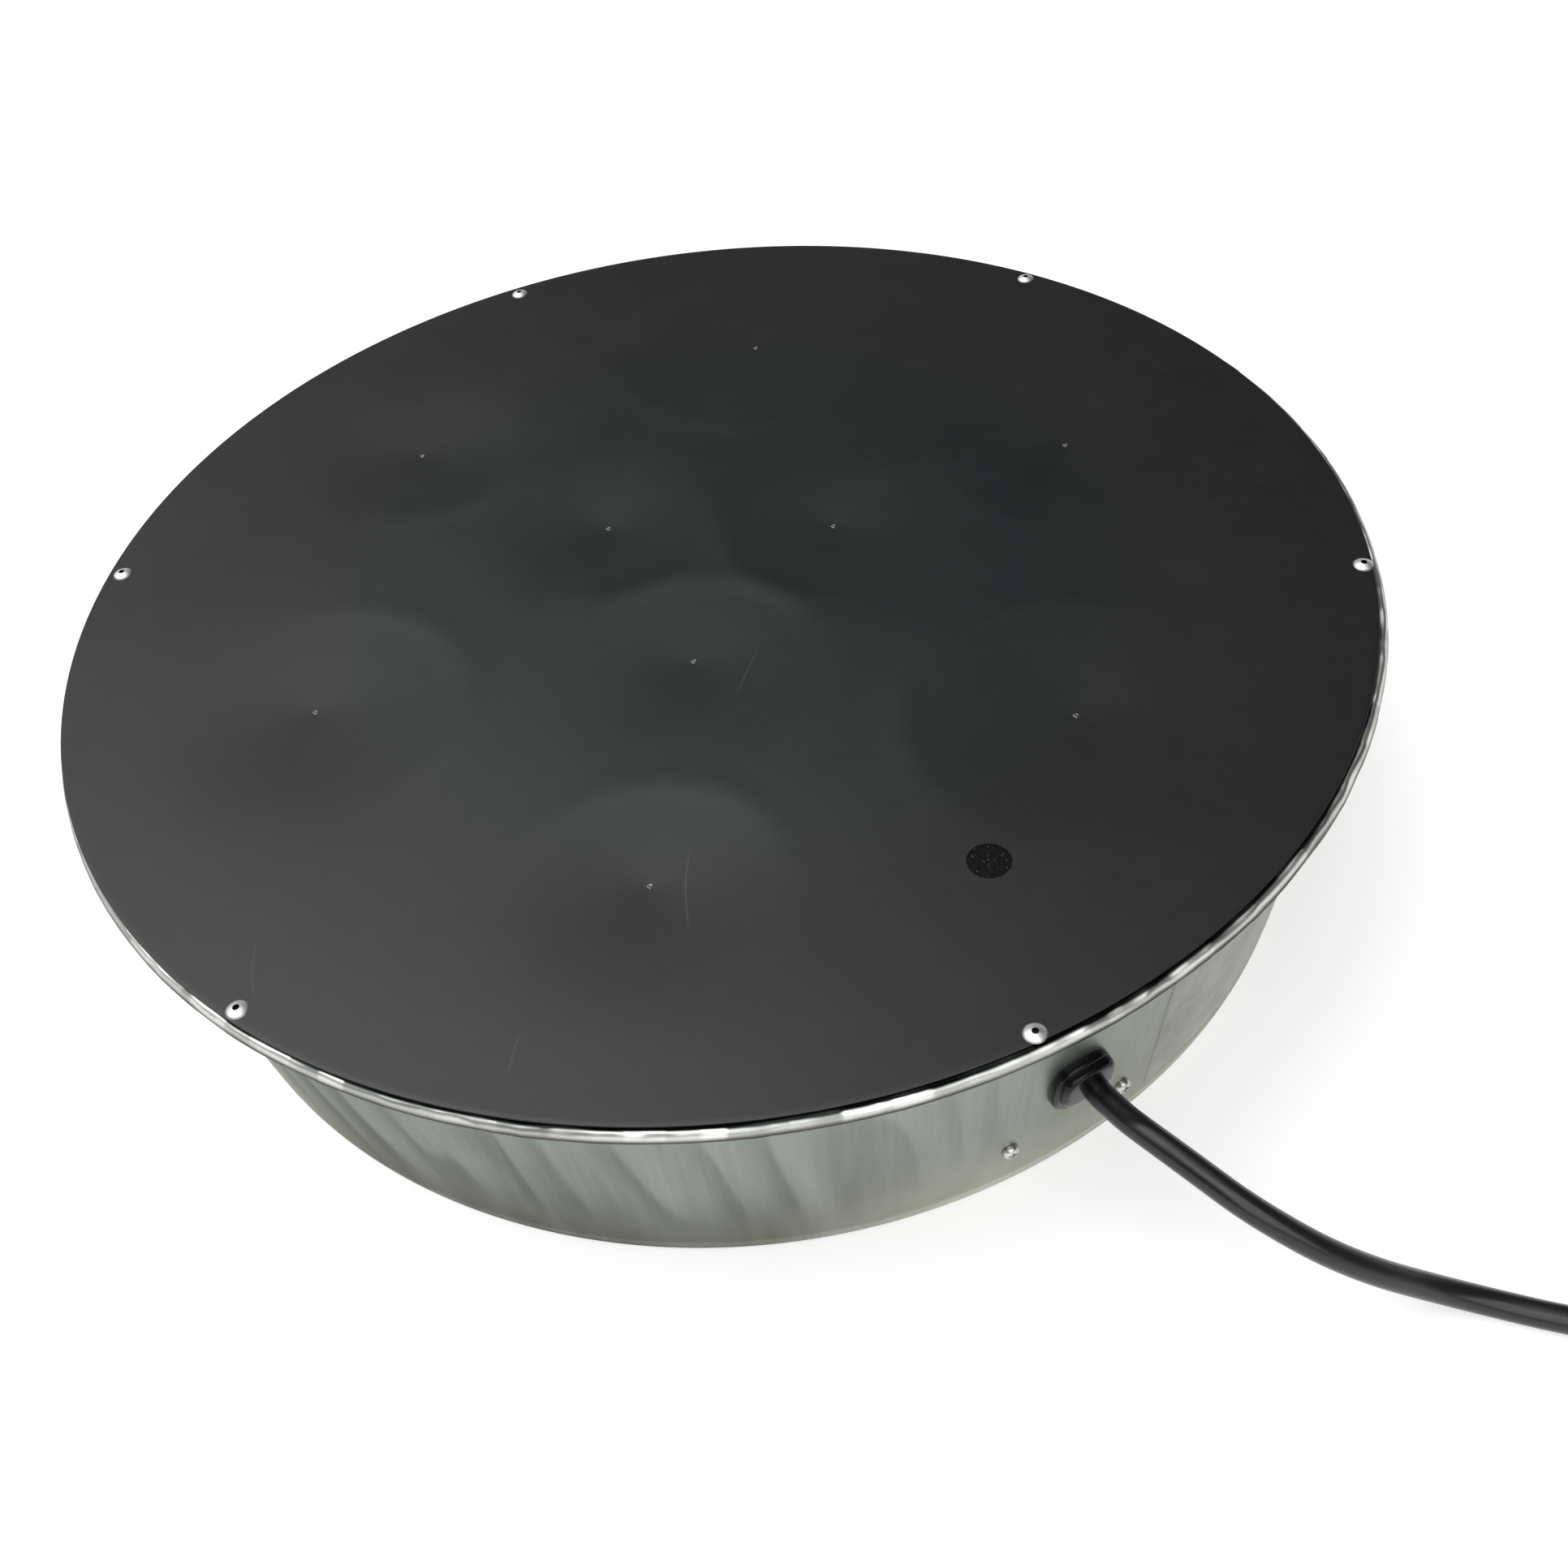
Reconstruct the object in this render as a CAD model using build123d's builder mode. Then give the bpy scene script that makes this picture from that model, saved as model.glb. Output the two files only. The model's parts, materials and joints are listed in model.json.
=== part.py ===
"""Heated base for a poultry drinker.

A tapered galvanised pan with a rolled rim is closed by a black-coated steel plate. Under the plate lie a foil
heating element, an insulation blanket held by weld pins, and a snap-disc thermostat that senses the plate
through a sealed hole. A mains cord enters the wall through a strain relief.
Millimetres, +Z up, origin at the middle of the pan's underside, cord towards -Y.
"""

import os
from math import asin, atan, cos, degrees, pi, radians, sin, sqrt, tan

from build123d import *

os.makedirs("parts", exist_ok=True)

# Pan
sheet = 0.6
rim_radius = 209.5
rim_reach = 8.5
rim_height = 90.7
rim_depth = 5.0
rim_bend = 1.0
rim_tuck = 1.5
wall_taper = 9.2
base_corner = 3.0

# Plate and its rivets
plate_inset = 2.0
plate_thickness = 0.9
plate_edge = 0.3
plate_margin = 10.5
plate_margin_drop = 0.1
rivet_inset = 3.6
rivet_count = 6
rivet_turn = 23.5
rivet_hole = 3.4
rivet_shank = 3.2
rivet_head = 6.3
rivet_dome = 1.15
rivet_bore = 1.75
rivet_tail = 4.2
rivet_tail_length = 2.0
stem_clear = 0.05
stem_depth = 0.7
stem_head = 2.6
stem_head_length = 0.9

# Weld pins that hold the element and the blanket
outer_pin_inset = 55.5
outer_pin_count = 6
inner_pin_radius = 44.0
inner_pin_count = 3
pin_turn = -6.5
weld_pin = 2.7
weld_pin_foot = 4.5
weld_pin_foot_height = 0.6
weld_pin_tip = 5.0
pin_hole_clear = 0.5
washer_size = 30.0
washer_thickness = 0.5
washer_clear = 0.1

# Foil element and insulation
element_inset = 3.8
foil = 0.3
cable = 3.0
cable_clear = 0.05
loop_inset = 8.0
loop_pitch = 20.0
loop_count = 6
cable_margin = 5.0
return_run_across = 16.0
return_bend = 10.0
blanket = 25.0
bay_width = 50.0

# Sealed hole and snap-disc thermostat under it
sensor_inset = 36.0
sensor_hole = 12.2
plug_crown = 0.2
plug_sink = 0.05
cup_size = 16.6
cup_wall = 0.5
cup_height = 4.4
cup_flange = 19.4
cup_clear = 0.1
disc_size = 14.4
disc_thickness = 0.25
disc_dome = 0.5
disc_seat = 1.9
disc_lap = 0.5
disc_clear = 0.02
disc_recess = 1.1
body_size = 16.8
body_height = 7.6
cavity_length = 13.6
cavity_width = 6.8
guide_length = 3.4
push_pin = 2.4
push_pin_clear = 0.05
push_pin_round = 0.9
push_gap = 0.05
travel = 0.35
arm_reach = 4.6
arm_free = 4.2
arm_root = 0.8
arm_width = 3.5
arm_thickness = 0.25
arm_pivot = 0.7
arm_clear = 0.1
contact_across = 3.0
contact_size = 2.2
contact_height = 0.4
contact_spare = 0.1
terminal = 0.8
terminal_across = 6.0
terminal_neck = 3.5
terminal_blade = 6.3
terminal_length = 8.0
terminal_clear = 0.1
lug_thickness = 0.6
lug_reach = 2.0
stat_base = 2.0
bracket = 0.8
bracket_leg = 11.5
bracket_foot = 21.0
bracket_width = 22.0
bracket_clear = 0.2

# Inner wiring
conductor = 2.4
conductor_spread = 2.0
conductor_clear = 0.1
lead_bend = 3.0
receptacle_width = 7.6
receptacle_depth = 2.6
receptacle_length = 7.0
barrel = 3.8
barrel_length = 6.0
ferrule_wall = 0.2
ferrule_clear = 0.12
ferrule_length = 7.0
lead_gap = 0.3
lead_over = 3.7
cable_start_across = 16.0
return_run_out = 15.0
return_lead_drop = 6.8

# Splice tray, wall screws and crimp cap
tray = 0.8
tray_height = 12.0
tray_top = 33.0
tray_reach = 38.0
tray_width = 60.0
tray_clear = 0.15
screw_spacing = 38.5
screw_height = 22.4
screw_offset = -3.0
screw_shank = 2.8
screw_hole = 3.0
screw_head = 5.0
screw_head_height = 2.0
screw_length = 9.0
screw_recess = 0.7
screw_recess_width = 0.8
screw_recess_span = 2.8
screw_head_round = 1.4
thread_clear = 0.05
nut_flats = 5.5
nut_height = 2.4
ring_size = 7.0
ring_thickness = 0.8
ring_gap = 0.1
ring_tongue = 3.2
ring_barrel_start = 4.4
ring_barrel_length = 7.0
cap_across = 16.0
cap_inset = 20.5
cap_size = 8.2
cap_height = 18.0
cap_round = 2.0
cap_bore = 5.6
cap_bore_depth = 12.0
cap_split = 1.4
cap_entry = 6.0

# Strain relief in the wall
grip_height = 45.0
grip_flange = 22.5
grip_flange_height = 19.0
grip_flange_thickness = 3.0
grip_neck = 16.0
grip_flats = 14.6
grip_hole_clear = 0.2
grip_lip = 0.8
grip_lip_start = 1.2
grip_neck_length = 4.0
grip_nose = 12.8
grip_nose_length = 12.0
grip_bar_width = 18.5
grip_bar_height = 10.0
grip_bar_rise = 3.6
grip_bar_length = 9.0
grip_bar_corner = 3.0
grip_bar_edge = 0.9
grip_collar = 12.4
grip_collar_length = 6.0
wedge_width = 5.6
wedge_height = 2.2
wedge_clear = 0.1

# Blank label on the wall
label_offset = 28.5
label_width = 80.7
label_low = 9.0
label_high = 69.0
label_thickness = 0.15
label_gap = 0.1

# Mains cord
cord = 7.6
cord_drop = 0.5
cord_clear = 0.05
cord_flare = 0.6
tail_out = 6.0
tail_in = 32.0
cord_first_run = 8.0
cord_hang = [
    (1.35, 15.96, 1.16),
    (5.7, 28.36, 0.66),
    (12.6, 47.46, 5.46),
    (29.3, 66.76, 19.96),
]
cord_ground = [(56.5, 82.66), (77.0, 106.06)]
cord_run_in = [(99.0, 126.76), (121.6, 146.26)]

# Put-away coil, tie and plug
coil_outer_radius = 56.6
coil_pitch = 8.3
coil_layer = 8.2
coil_full_turns = 5
coil_exit_turn = 0.0
coil_run_out = 30.0
tie_thickness = 1.0
tie_gap = 0.3
tie_side_gap = 0.9
tie_width = 12.0
tie_turn = 120.0
tie_corner = 4.0
plug_tail = 10.4
plug_tail_length = 14.0
plug_width = 27.0
plug_height = 25.0
plug_length = 31.0
plug_neck = 15.0
plug_neck_length = 9.0
plug_corner = 8.0
plug_edge = 2.0
plug_socket_clear = 0.05
blade_width = 6.35
blade_thickness = 1.5
blade_length = 17.0
blade_depth = 5.0
blade_spacing = 12.7
blade_drop = 4.2
earth_pin = 4.8
earth_pin_length = 20.0
earth_pin_offset = 11.9
earth_pin_round = 1.9

# Radii worked out from the rim inwards
plate_radius = rim_radius - plate_inset
rivet_radius = plate_radius - rivet_inset
wall_top_radius = rim_radius - rim_reach
base_radius = wall_top_radius - wall_taper
element_radius = base_radius - element_inset
loop_radius = element_radius - loop_inset
sensor_radius = element_radius - sensor_inset
outer_pin_radius = element_radius - outer_pin_inset

# Heights worked out from the stack
plate_bottom = rim_height
plate_top = plate_bottom + plate_thickness
foil_bottom = plate_bottom - foil
cable_height = foil_bottom - cable_clear - cable / 2
cover_top = cable_height - cable / 2 - cable_clear
blanket_top = cover_top - foil
blanket_bottom = blanket_top - blanket
washer_bottom = blanket_bottom - washer_thickness
pin_bottom = washer_bottom - weld_pin_tip
flange_underside = rim_height - sheet
rivet_seat = plate_top - plate_margin_drop
roll_floor = rim_height - rim_depth + sheet
rim_nose = 0.48 * (flange_underside - roll_floor)

# The wall and planes that stand on it
wall_slope = (wall_top_radius - base_radius) / (rim_height - rim_depth)
wall_lean = atan(wall_slope)


def wall_radius(height):
    """Outer radius of the tapered wall at a height."""
    return base_radius + wall_slope * height


def wall_inner_radius(height):
    """Inner radius of the tapered wall at a height."""
    return wall_radius(height) - sheet / cos(wall_lean)


def wall_turn(across, height):
    """Polar angle of a spot on the wall, a distance along X from the cord's side."""
    return -90 + degrees(asin(across / wall_radius(height)))


def wall_plane(across, height):
    """Plane on the wall's outside: X along the wall, Y up it, Z out of it."""
    turn = radians(wall_turn(across, height))
    out = wall_radius(height)
    return Plane(
        origin=(out * cos(turn), out * sin(turn), height),
        x_dir=(-sin(turn), cos(turn), 0),
        z_dir=(cos(turn) * cos(wall_lean), sin(turn) * cos(wall_lean), -sin(wall_lean)),
    )


def radial_plane(turn):
    """Upright plane through the part's axis: X outwards at a polar angle, Y up."""
    angle = radians(turn)
    return Plane(
        origin=(0, 0, 0),
        x_dir=(cos(angle), sin(angle), 0),
        z_dir=(sin(angle), -cos(angle), 0),
    )


def dome_height(radius, rise, reach):
    """Height of a spherical dome at a radius, for a dome of a given rise over a given reach."""
    ball = (reach**2 + rise**2) / (2 * rise)
    return rise - ball + sqrt(ball**2 - radius**2)


def lead(points, size, bend):
    """Round wire along straight runs with equal bends."""
    with BuildPart() as wire:
        with BuildLine():
            path = FilletPolyline(*points, radius=bend)
        with BuildSketch(Plane(origin=path @ 0, z_dir=path % 0)):
            Circle(size / 2)
        sweep()
    return wire


grip_plane = wall_plane(0, grip_height)
screw_planes = [
    wall_plane(screw_offset - screw_spacing / 2, screw_height),
    wall_plane(screw_offset + screw_spacing / 2, screw_height),
]
sensor_spot = (0, -sensor_radius)
sensor_axis = Axis((0, -sensor_radius, 0), (0, 0, 1))
sensor_side = Plane(origin=(0, -sensor_radius, plate_bottom), x_dir=(1, 0, 0), z_dir=(0, -1, 0))


def sensor_level(depth):
    """Horizontal plane on the thermostat's axis, a depth below the plate."""
    return Plane(origin=(0, -sensor_radius, plate_bottom - depth))


# Pan: one sheet-metal profile, from the middle of its floor to the tucked end of its rim
with BuildPart() as pan:
    with BuildSketch(Plane.XZ):
        with BuildLine():
            skin = FilletPolyline(
                (0, 0),
                (base_radius, 0),
                (wall_radius(flange_underside), flange_underside),
                (rim_radius - sheet, flange_underside),
                (rim_radius - sheet, roll_floor),
                (wall_radius(roll_floor) + rim_tuck, roll_floor),
                radius=[base_corner, rim_bend, rim_nose, rim_nose],
            )
            offset(skin, amount=sheet, side=Side.LEFT)
        make_face()
    revolve(axis=Axis.Z)
    with BuildSketch(Plane.XY.offset(rim_height)):
        with PolarLocations(rivet_radius, rivet_count, rivet_turn):
            Circle(rivet_hole / 2)
    extrude(amount=-2 * sheet, mode=Mode.SUBTRACT)
    with BuildSketch(grip_plane):
        Circle(grip_neck / 2 + grip_hole_clear)
        Rectangle(2 * grip_neck, grip_flats + 2 * grip_hole_clear, mode=Mode.INTERSECT)
    extrude(amount=3 * sheet, both=True, mode=Mode.SUBTRACT)
    for screw_plane in screw_planes:
        with BuildSketch(screw_plane):
            Circle(screw_hole / 2)
        extrude(amount=3 * sheet, both=True, mode=Mode.SUBTRACT)

# Plate that the drinker stands on, drawn down a little at its edge where the rivets pull it to the rim
with BuildPart() as heater_plate:
    with BuildSketch(Plane.XY.offset(plate_bottom)):
        Circle(plate_radius)
        with PolarLocations(rivet_radius, rivet_count, rivet_turn):
            Circle(rivet_hole / 2, mode=Mode.SUBTRACT)
        with Locations(sensor_spot):
            Circle(sensor_hole / 2, mode=Mode.SUBTRACT)
    extrude(amount=plate_thickness)
    with BuildSketch(Plane.XY.offset(plate_top)):
        Circle(plate_radius)
        Circle(plate_radius - plate_margin, mode=Mode.SUBTRACT)
    extrude(amount=-plate_margin_drop, mode=Mode.SUBTRACT)
    fillet(heater_plate.edges().filter_by(GeomType.CIRCLE).sort_by(SortBy.RADIUS)[-2:], plate_edge)

# Blind rivets: a domed head, a shank through plate and rim, and a tail swollen inside the rolled rim
rivet_grip = rivet_seat - plate_bottom + sheet
rivet_end = rivet_grip + rivet_tail_length
with BuildPart() as one_rivet:
    with BuildSketch(Plane.XZ):
        with BuildLine():
            bore = rivet_bore / 2
            mid = (rivet_head / 2 + bore) / 2
            dome_ends = [rivet_head / 2, mid, bore]
            ThreePointArc(*[(r, rivet_seat + dome_height(r, rivet_dome, rivet_head / 2)) for r in dome_ends])
            Polyline(
                (bore, rivet_seat + dome_height(bore, rivet_dome, rivet_head / 2)),
                (bore, rivet_seat - rivet_end),
                (rivet_shank / 2, rivet_seat - rivet_end),
                (rivet_tail / 2, rivet_seat - rivet_grip - rivet_tail_length / 2),
                (rivet_shank / 2, rivet_seat - rivet_grip),
                (rivet_shank / 2, rivet_seat),
                (rivet_head / 2, rivet_seat),
            )
        make_face()
    revolve(axis=Axis.Z)
with BuildPart() as plate_rivets:
    with PolarLocations(rivet_radius, rivet_count, rivet_turn):
        add(one_rivet.part)

# The broken pulling stem that stays in each rivet
with BuildPart() as one_stem:
    with BuildSketch(Plane.XY.offset(rivet_seat - stem_depth)):
        Circle(rivet_bore / 2 - stem_clear)
    extrude(amount=stem_depth - rivet_end)
    with BuildSketch(Plane.XY.offset(rivet_seat - rivet_end)):
        Circle(stem_head / 2)
    extrude(amount=-stem_head_length)
with BuildPart() as rivet_stems:
    with PolarLocations(rivet_radius, rivet_count, rivet_turn):
        add(one_stem.part)

# Sealing plug, sunk a little into the plate and slightly crowned
plug_edge_height = plate_thickness - plug_sink - plug_crown
with BuildPart() as sensor_plug:
    with BuildSketch(sensor_side):
        with BuildLine():
            reach = sensor_hole / 2
            Polyline((0, plug_edge_height + plug_crown), (0, 0), (reach, 0), (reach, plug_edge_height))
            crown_ends = [reach, reach / 2, 0]
            ThreePointArc(*[(r, plug_edge_height + dome_height(r, plug_crown, reach)) for r in crown_ends])
        make_face()
    revolve(axis=sensor_axis)

# Weld pins under the plate and the push-on washers on them
with BuildPart() as one_pin:
    with BuildSketch(Plane.XY.offset(plate_bottom)):
        Circle(weld_pin_foot / 2)
    extrude(amount=-weld_pin_foot_height)
    with BuildSketch(Plane.XY.offset(plate_bottom)):
        Circle(weld_pin / 2)
    extrude(amount=pin_bottom - plate_bottom)
with BuildPart() as weld_pins:
    with PolarLocations(outer_pin_radius, outer_pin_count, pin_turn):
        add(one_pin.part)
    with PolarLocations(inner_pin_radius, inner_pin_count, pin_turn):
        add(one_pin.part)
with BuildPart() as pin_washers:
    with BuildSketch(Plane.XY.offset(washer_bottom)):
        with PolarLocations(outer_pin_radius, outer_pin_count, pin_turn):
            Circle(washer_size / 2)
            Circle(weld_pin / 2 + washer_clear, mode=Mode.SUBTRACT)
        with PolarLocations(inner_pin_radius, inner_pin_count, pin_turn):
            Circle(washer_size / 2)
            Circle(weld_pin / 2 + washer_clear, mode=Mode.SUBTRACT)
    extrude(amount=washer_thickness)


def layer_outline(pin_size):
    """Disc of the element's size, holed for the pins and open at the wiring bay."""
    Circle(element_radius)
    with PolarLocations(outer_pin_radius, outer_pin_count, pin_turn):
        Circle(pin_size / 2 + pin_hole_clear, mode=Mode.SUBTRACT)
    with PolarLocations(inner_pin_radius, inner_pin_count, pin_turn):
        Circle(pin_size / 2 + pin_hole_clear, mode=Mode.SUBTRACT)
    with Locations(sensor_spot):
        Circle(bay_width / 2, mode=Mode.SUBTRACT)
        Rectangle(bay_width, element_radius, align=(Align.CENTER, Align.MAX), mode=Mode.SUBTRACT)


with BuildPart() as element_foil:
    with BuildSketch(Plane.XY.offset(foil_bottom)):
        layer_outline(weld_pin_foot)
    extrude(amount=foil)
with BuildPart() as cover_foil:
    with BuildSketch(Plane.XY.offset(blanket_top)):
        layer_outline(weld_pin)
    extrude(amount=foil)
with BuildPart() as insulation_blanket:
    with BuildSketch(Plane.XY.offset(blanket_bottom)):
        layer_outline(weld_pin)
    extrude(amount=blanket)

# Heating cable: nested arcs that turn back at the wiring bay, then a run out along the bay's side
turn_back = loop_pitch / 2
bay_gap = bay_width / 2 + turn_back + cable_margin
loop_radii = [loop_radius - loop_pitch * i for i in range(loop_count)]
turn_gaps = [degrees(asin(bay_gap / (r - turn_back))) for r in loop_radii]
last_radius = loop_radii[-1]
start_gap = degrees(asin(cable_start_across / loop_radius))
end_gap = degrees(asin((return_run_across + return_bend) / (last_radius + return_bend)))
return_run_start = -(last_radius + return_bend) * cos(radians(end_gap))
return_run_end = -(sensor_radius - return_run_out)
with BuildPart() as heating_cable:
    with BuildLine(Plane.XY.offset(cable_height)):
        arcs = []
        for index, radius in enumerate(loop_radii):
            before = start_gap if index == 0 else turn_gaps[index - 1]
            after = end_gap if index == loop_count - 1 else turn_gaps[index]
            if index % 2 == 0:
                arcs.append(CenterArc((0, 0), radius, -90 + before, 360 - before - after))
                bend_turn = 270 - after
                bend_sweep = 180
            else:
                arcs.append(CenterArc((0, 0), radius, 270 - before, before + after - 360))
                bend_turn = -90 + after
                bend_sweep = -180
            if index < loop_count - 1:
                middle = radius - turn_back
                spot = (middle * cos(radians(bend_turn)), middle * sin(radians(bend_turn)))
                CenterArc(spot, turn_back, bend_turn, bend_sweep)
        out_turn = radians(-90 + end_gap)
        out_spot = ((last_radius + return_bend) * cos(out_turn), (last_radius + return_bend) * sin(out_turn))
        CenterArc(out_spot, return_bend, 90 + end_gap, 90 - end_gap)
        Line((return_run_across, return_run_start), (return_run_across, return_run_end))
    with BuildSketch(Plane(origin=arcs[0] @ 0, z_dir=arcs[0] % 0)):
        Circle(cable / 2)
    sweep()

# Thermostat cup, pressed against the plate under the sealed hole
with BuildPart() as thermostat_cup:
    with BuildSketch(sensor_side):
        with BuildLine():
            Polyline(
                (0, 0),
                (cup_size / 2, 0),
                (cup_size / 2, -cup_height + cup_wall),
                (cup_flange / 2, -cup_height + cup_wall),
                (cup_flange / 2, -cup_height),
                (cup_size / 2 - cup_wall, -cup_height),
                (cup_size / 2 - cup_wall, -cup_wall),
                (0, -cup_wall),
                close=True,
            )
        make_face()
    revolve(axis=sensor_axis)

# Bimetal disc, resting on its seat's inner edge and snapped down as it is at room warmth
disc_lift = dome_height(disc_size / 2 - disc_lap, disc_dome, disc_size / 2) + disc_clear
disc_edge = disc_lift - disc_seat
disc_low = disc_dome - disc_edge
with BuildPart() as bimetal_disc:
    with BuildSketch(sensor_side):
        with BuildLine():
            reach = disc_size / 2
            low = [(r, disc_edge - dome_height(r, disc_dome, reach)) for r in (0, reach / 2, reach)]
            high = [(r, z + disc_thickness) for r, z in low]
            ThreePointArc(*low)
            Line(low[-1], high[-1])
            ThreePointArc(*high)
            Line(high[0], low[0])
        make_face()
    revolve(axis=sensor_axis)

# Thermostat body: disc seat on top, guide for the pin, cavity for the contacts below
recess_floor = disc_seat + disc_recess
cavity_top = recess_floor + guide_length
body_bottom = cup_height + body_height
with BuildPart() as thermostat_body:
    with BuildSketch(sensor_level(body_bottom)):
        Circle(body_size / 2)
    extrude(amount=body_height)
    with BuildSketch(sensor_level(cup_height)):
        Circle(cup_size / 2 - cup_wall - cup_clear)
    extrude(amount=cup_height - disc_seat)
    with BuildSketch(sensor_level(disc_seat)):
        Circle(disc_size / 2 - disc_lap)
    extrude(amount=-disc_recess, mode=Mode.SUBTRACT)
    with BuildSketch(sensor_level(disc_seat)):
        Circle(push_pin / 2 + push_pin_clear)
    extrude(amount=-body_bottom, mode=Mode.SUBTRACT)
    with BuildSketch(sensor_level(body_bottom)):
        Rectangle(cavity_length, cavity_width)
    extrude(amount=body_bottom - cavity_top, mode=Mode.SUBTRACT)

# Contact levels, as depths below the plate
closing = travel * (arm_reach + contact_across + contact_size / 2) / arm_reach
strip_top = cavity_top + terminal_clear
strip_bottom = strip_top + lug_thickness
fixed_face = strip_bottom + contact_height
moving_face = fixed_face + contact_spare + closing
arm_top = moving_face + contact_height
arm_bottom = arm_top + arm_thickness
arm_middle = (arm_top + arm_bottom) / 2
lug_top = arm_middle + arm_pivot / 2 + arm_clear
base_bottom = body_bottom + stat_base
blade_top = base_bottom + terminal_clear
blade_bottom = blade_top + terminal_length

# Ceramic pin that carries the disc's snap to the contact arm
with BuildPart() as transfer_pin:
    with BuildSketch(sensor_level(disc_low + push_gap)):
        Circle(push_pin / 2)
    extrude(amount=disc_low + 2 * push_gap - arm_top)
    fillet(transfer_pin.faces().sort_by(Axis.Z)[0].edges(), push_pin_round)

# Contact arm: it rocks on a rounded pivot over its terminal and carries the moving contact at its free end
with BuildPart() as contact_arm:
    with BuildSketch(sensor_level(arm_bottom)):
        with Locations((-arm_reach - arm_root, 0)):
            Rectangle(arm_root + arm_reach + arm_free, arm_width, align=(Align.MIN, Align.CENTER))
    extrude(amount=arm_thickness)
    with BuildSketch(sensor_level(arm_top)):
        with Locations((contact_across, 0)):
            Circle(contact_size / 2)
    extrude(amount=contact_height)
    with BuildSketch(sensor_side):
        with Locations((-arm_reach, -arm_middle)):
            Circle(arm_pivot / 2)
    extrude(amount=arm_width / 2, both=True)


def terminal_post(side, top):
    """Terminal blade under the base, with a narrow neck that rises through it to a depth."""
    with BuildPart() as post:
        with BuildSketch(sensor_level(blade_bottom)):
            with Locations((side * terminal_across, 0)):
                Rectangle(terminal, terminal_blade)
        extrude(amount=terminal_length)
        with BuildSketch(sensor_level(blade_top)):
            with Locations((side * terminal_across, 0)):
                Rectangle(terminal, terminal_neck)
        extrude(amount=blade_top - top)
    return post.part


with BuildPart() as arm_terminal:
    add(terminal_post(-1, lug_top))
    with BuildSketch(sensor_level(lug_top)):
        with Locations((-terminal_across - terminal / 2, 0)):
            Rectangle(lug_reach, terminal_neck, align=(Align.MIN, Align.CENTER))
    extrude(amount=-lug_thickness)
with BuildPart() as fixed_terminal:
    add(terminal_post(1, strip_top))
    with BuildSketch(sensor_level(strip_top)):
        with Locations((contact_across - contact_size / 2, 0)):
            strip_length = terminal_across + terminal / 2 - contact_across + contact_size / 2
            Rectangle(strip_length, terminal_neck, align=(Align.MIN, Align.CENTER))
    extrude(amount=-lug_thickness)
    with BuildSketch(sensor_level(strip_bottom)):
        with Locations((contact_across, 0)):
            Circle(contact_size / 2)
    extrude(amount=-contact_height)

# Base that closes the contact cavity
with BuildPart() as thermostat_base:
    with BuildSketch(sensor_level(base_bottom)):
        Circle(body_size / 2)
        with Locations((-terminal_across, 0), (terminal_across, 0)):
            Rectangle(terminal + terminal_clear, terminal_neck + terminal_clear, mode=Mode.SUBTRACT)
    extrude(amount=stat_base)

# Hat-shaped bracket, welded to the plate, that holds the cup up by its flange
bracket_side = Plane(origin=(0, -sensor_radius, plate_bottom), x_dir=(0, 1, 0), z_dir=(1, 0, 0))
with BuildPart() as thermostat_bracket:
    with BuildSketch(bracket_side):
        with BuildLine():
            Polyline(
                (0, -cup_height),
                (bracket_leg, -cup_height),
                (bracket_leg, 0),
                (bracket_foot, 0),
                (bracket_foot, -bracket),
                (bracket_leg + bracket, -bracket),
                (bracket_leg + bracket, -cup_height - bracket),
                (0, -cup_height - bracket),
                close=True,
            )
        make_face()
        mirror(about=Plane.YZ)
    extrude(amount=bracket_width / 2, both=True)
    with BuildSketch(sensor_level(cup_height)):
        Circle(body_size / 2 + bracket_clear)
    extrude(amount=-2 * bracket, mode=Mode.SUBTRACT)

# Push-on receptacles on the two terminal blades
barrel_top = blade_bottom
barrel_bottom = barrel_top + barrel_length
with BuildPart() as lead_receptacles:
    for side in (-1, 1):
        with BuildSketch(sensor_level(barrel_top)):
            with Locations((side * terminal_across, 0)):
                Rectangle(receptacle_depth, receptacle_width)
                Rectangle(terminal + terminal_clear, terminal_blade + terminal_clear, mode=Mode.SUBTRACT)
        extrude(amount=receptacle_length)
        with BuildSketch(sensor_level(barrel_bottom)):
            with Locations((side * terminal_across, 0)):
                Circle(barrel / 2)
                Circle(conductor / 2 + conductor_clear, mode=Mode.SUBTRACT)
        extrude(amount=barrel_length)

# Splice tray behind the wall screws, curved with the wall
tray_half = degrees(tray_width / 2 / wall_radius(tray_height))
tray_turn = wall_turn(screw_offset, screw_height)
tray_floor = tray_height + tray
cap_out = wall_inner_radius(tray_height) - cap_inset
with BuildPart() as splice_tray:
    with BuildSketch(radial_plane(tray_turn - tray_half)):
        with BuildLine():
            Polyline(
                (wall_inner_radius(tray_height) - tray_clear, tray_height),
                (wall_inner_radius(tray_top) - tray_clear, tray_top),
                (wall_inner_radius(tray_top) - tray_clear - tray, tray_top),
                (wall_inner_radius(tray_floor) - tray_clear - tray, tray_floor),
                (wall_inner_radius(tray_height) - tray_reach, tray_floor),
                (wall_inner_radius(tray_height) - tray_reach, tray_height),
                close=True,
            )
        make_face()
    revolve(axis=Axis.Z, revolution_arc=2 * tray_half)
    for screw_plane in screw_planes:
        with BuildSketch(screw_plane):
            Circle(screw_hole / 2)
        extrude(amount=-4 * (sheet + tray), mode=Mode.SUBTRACT)

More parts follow.
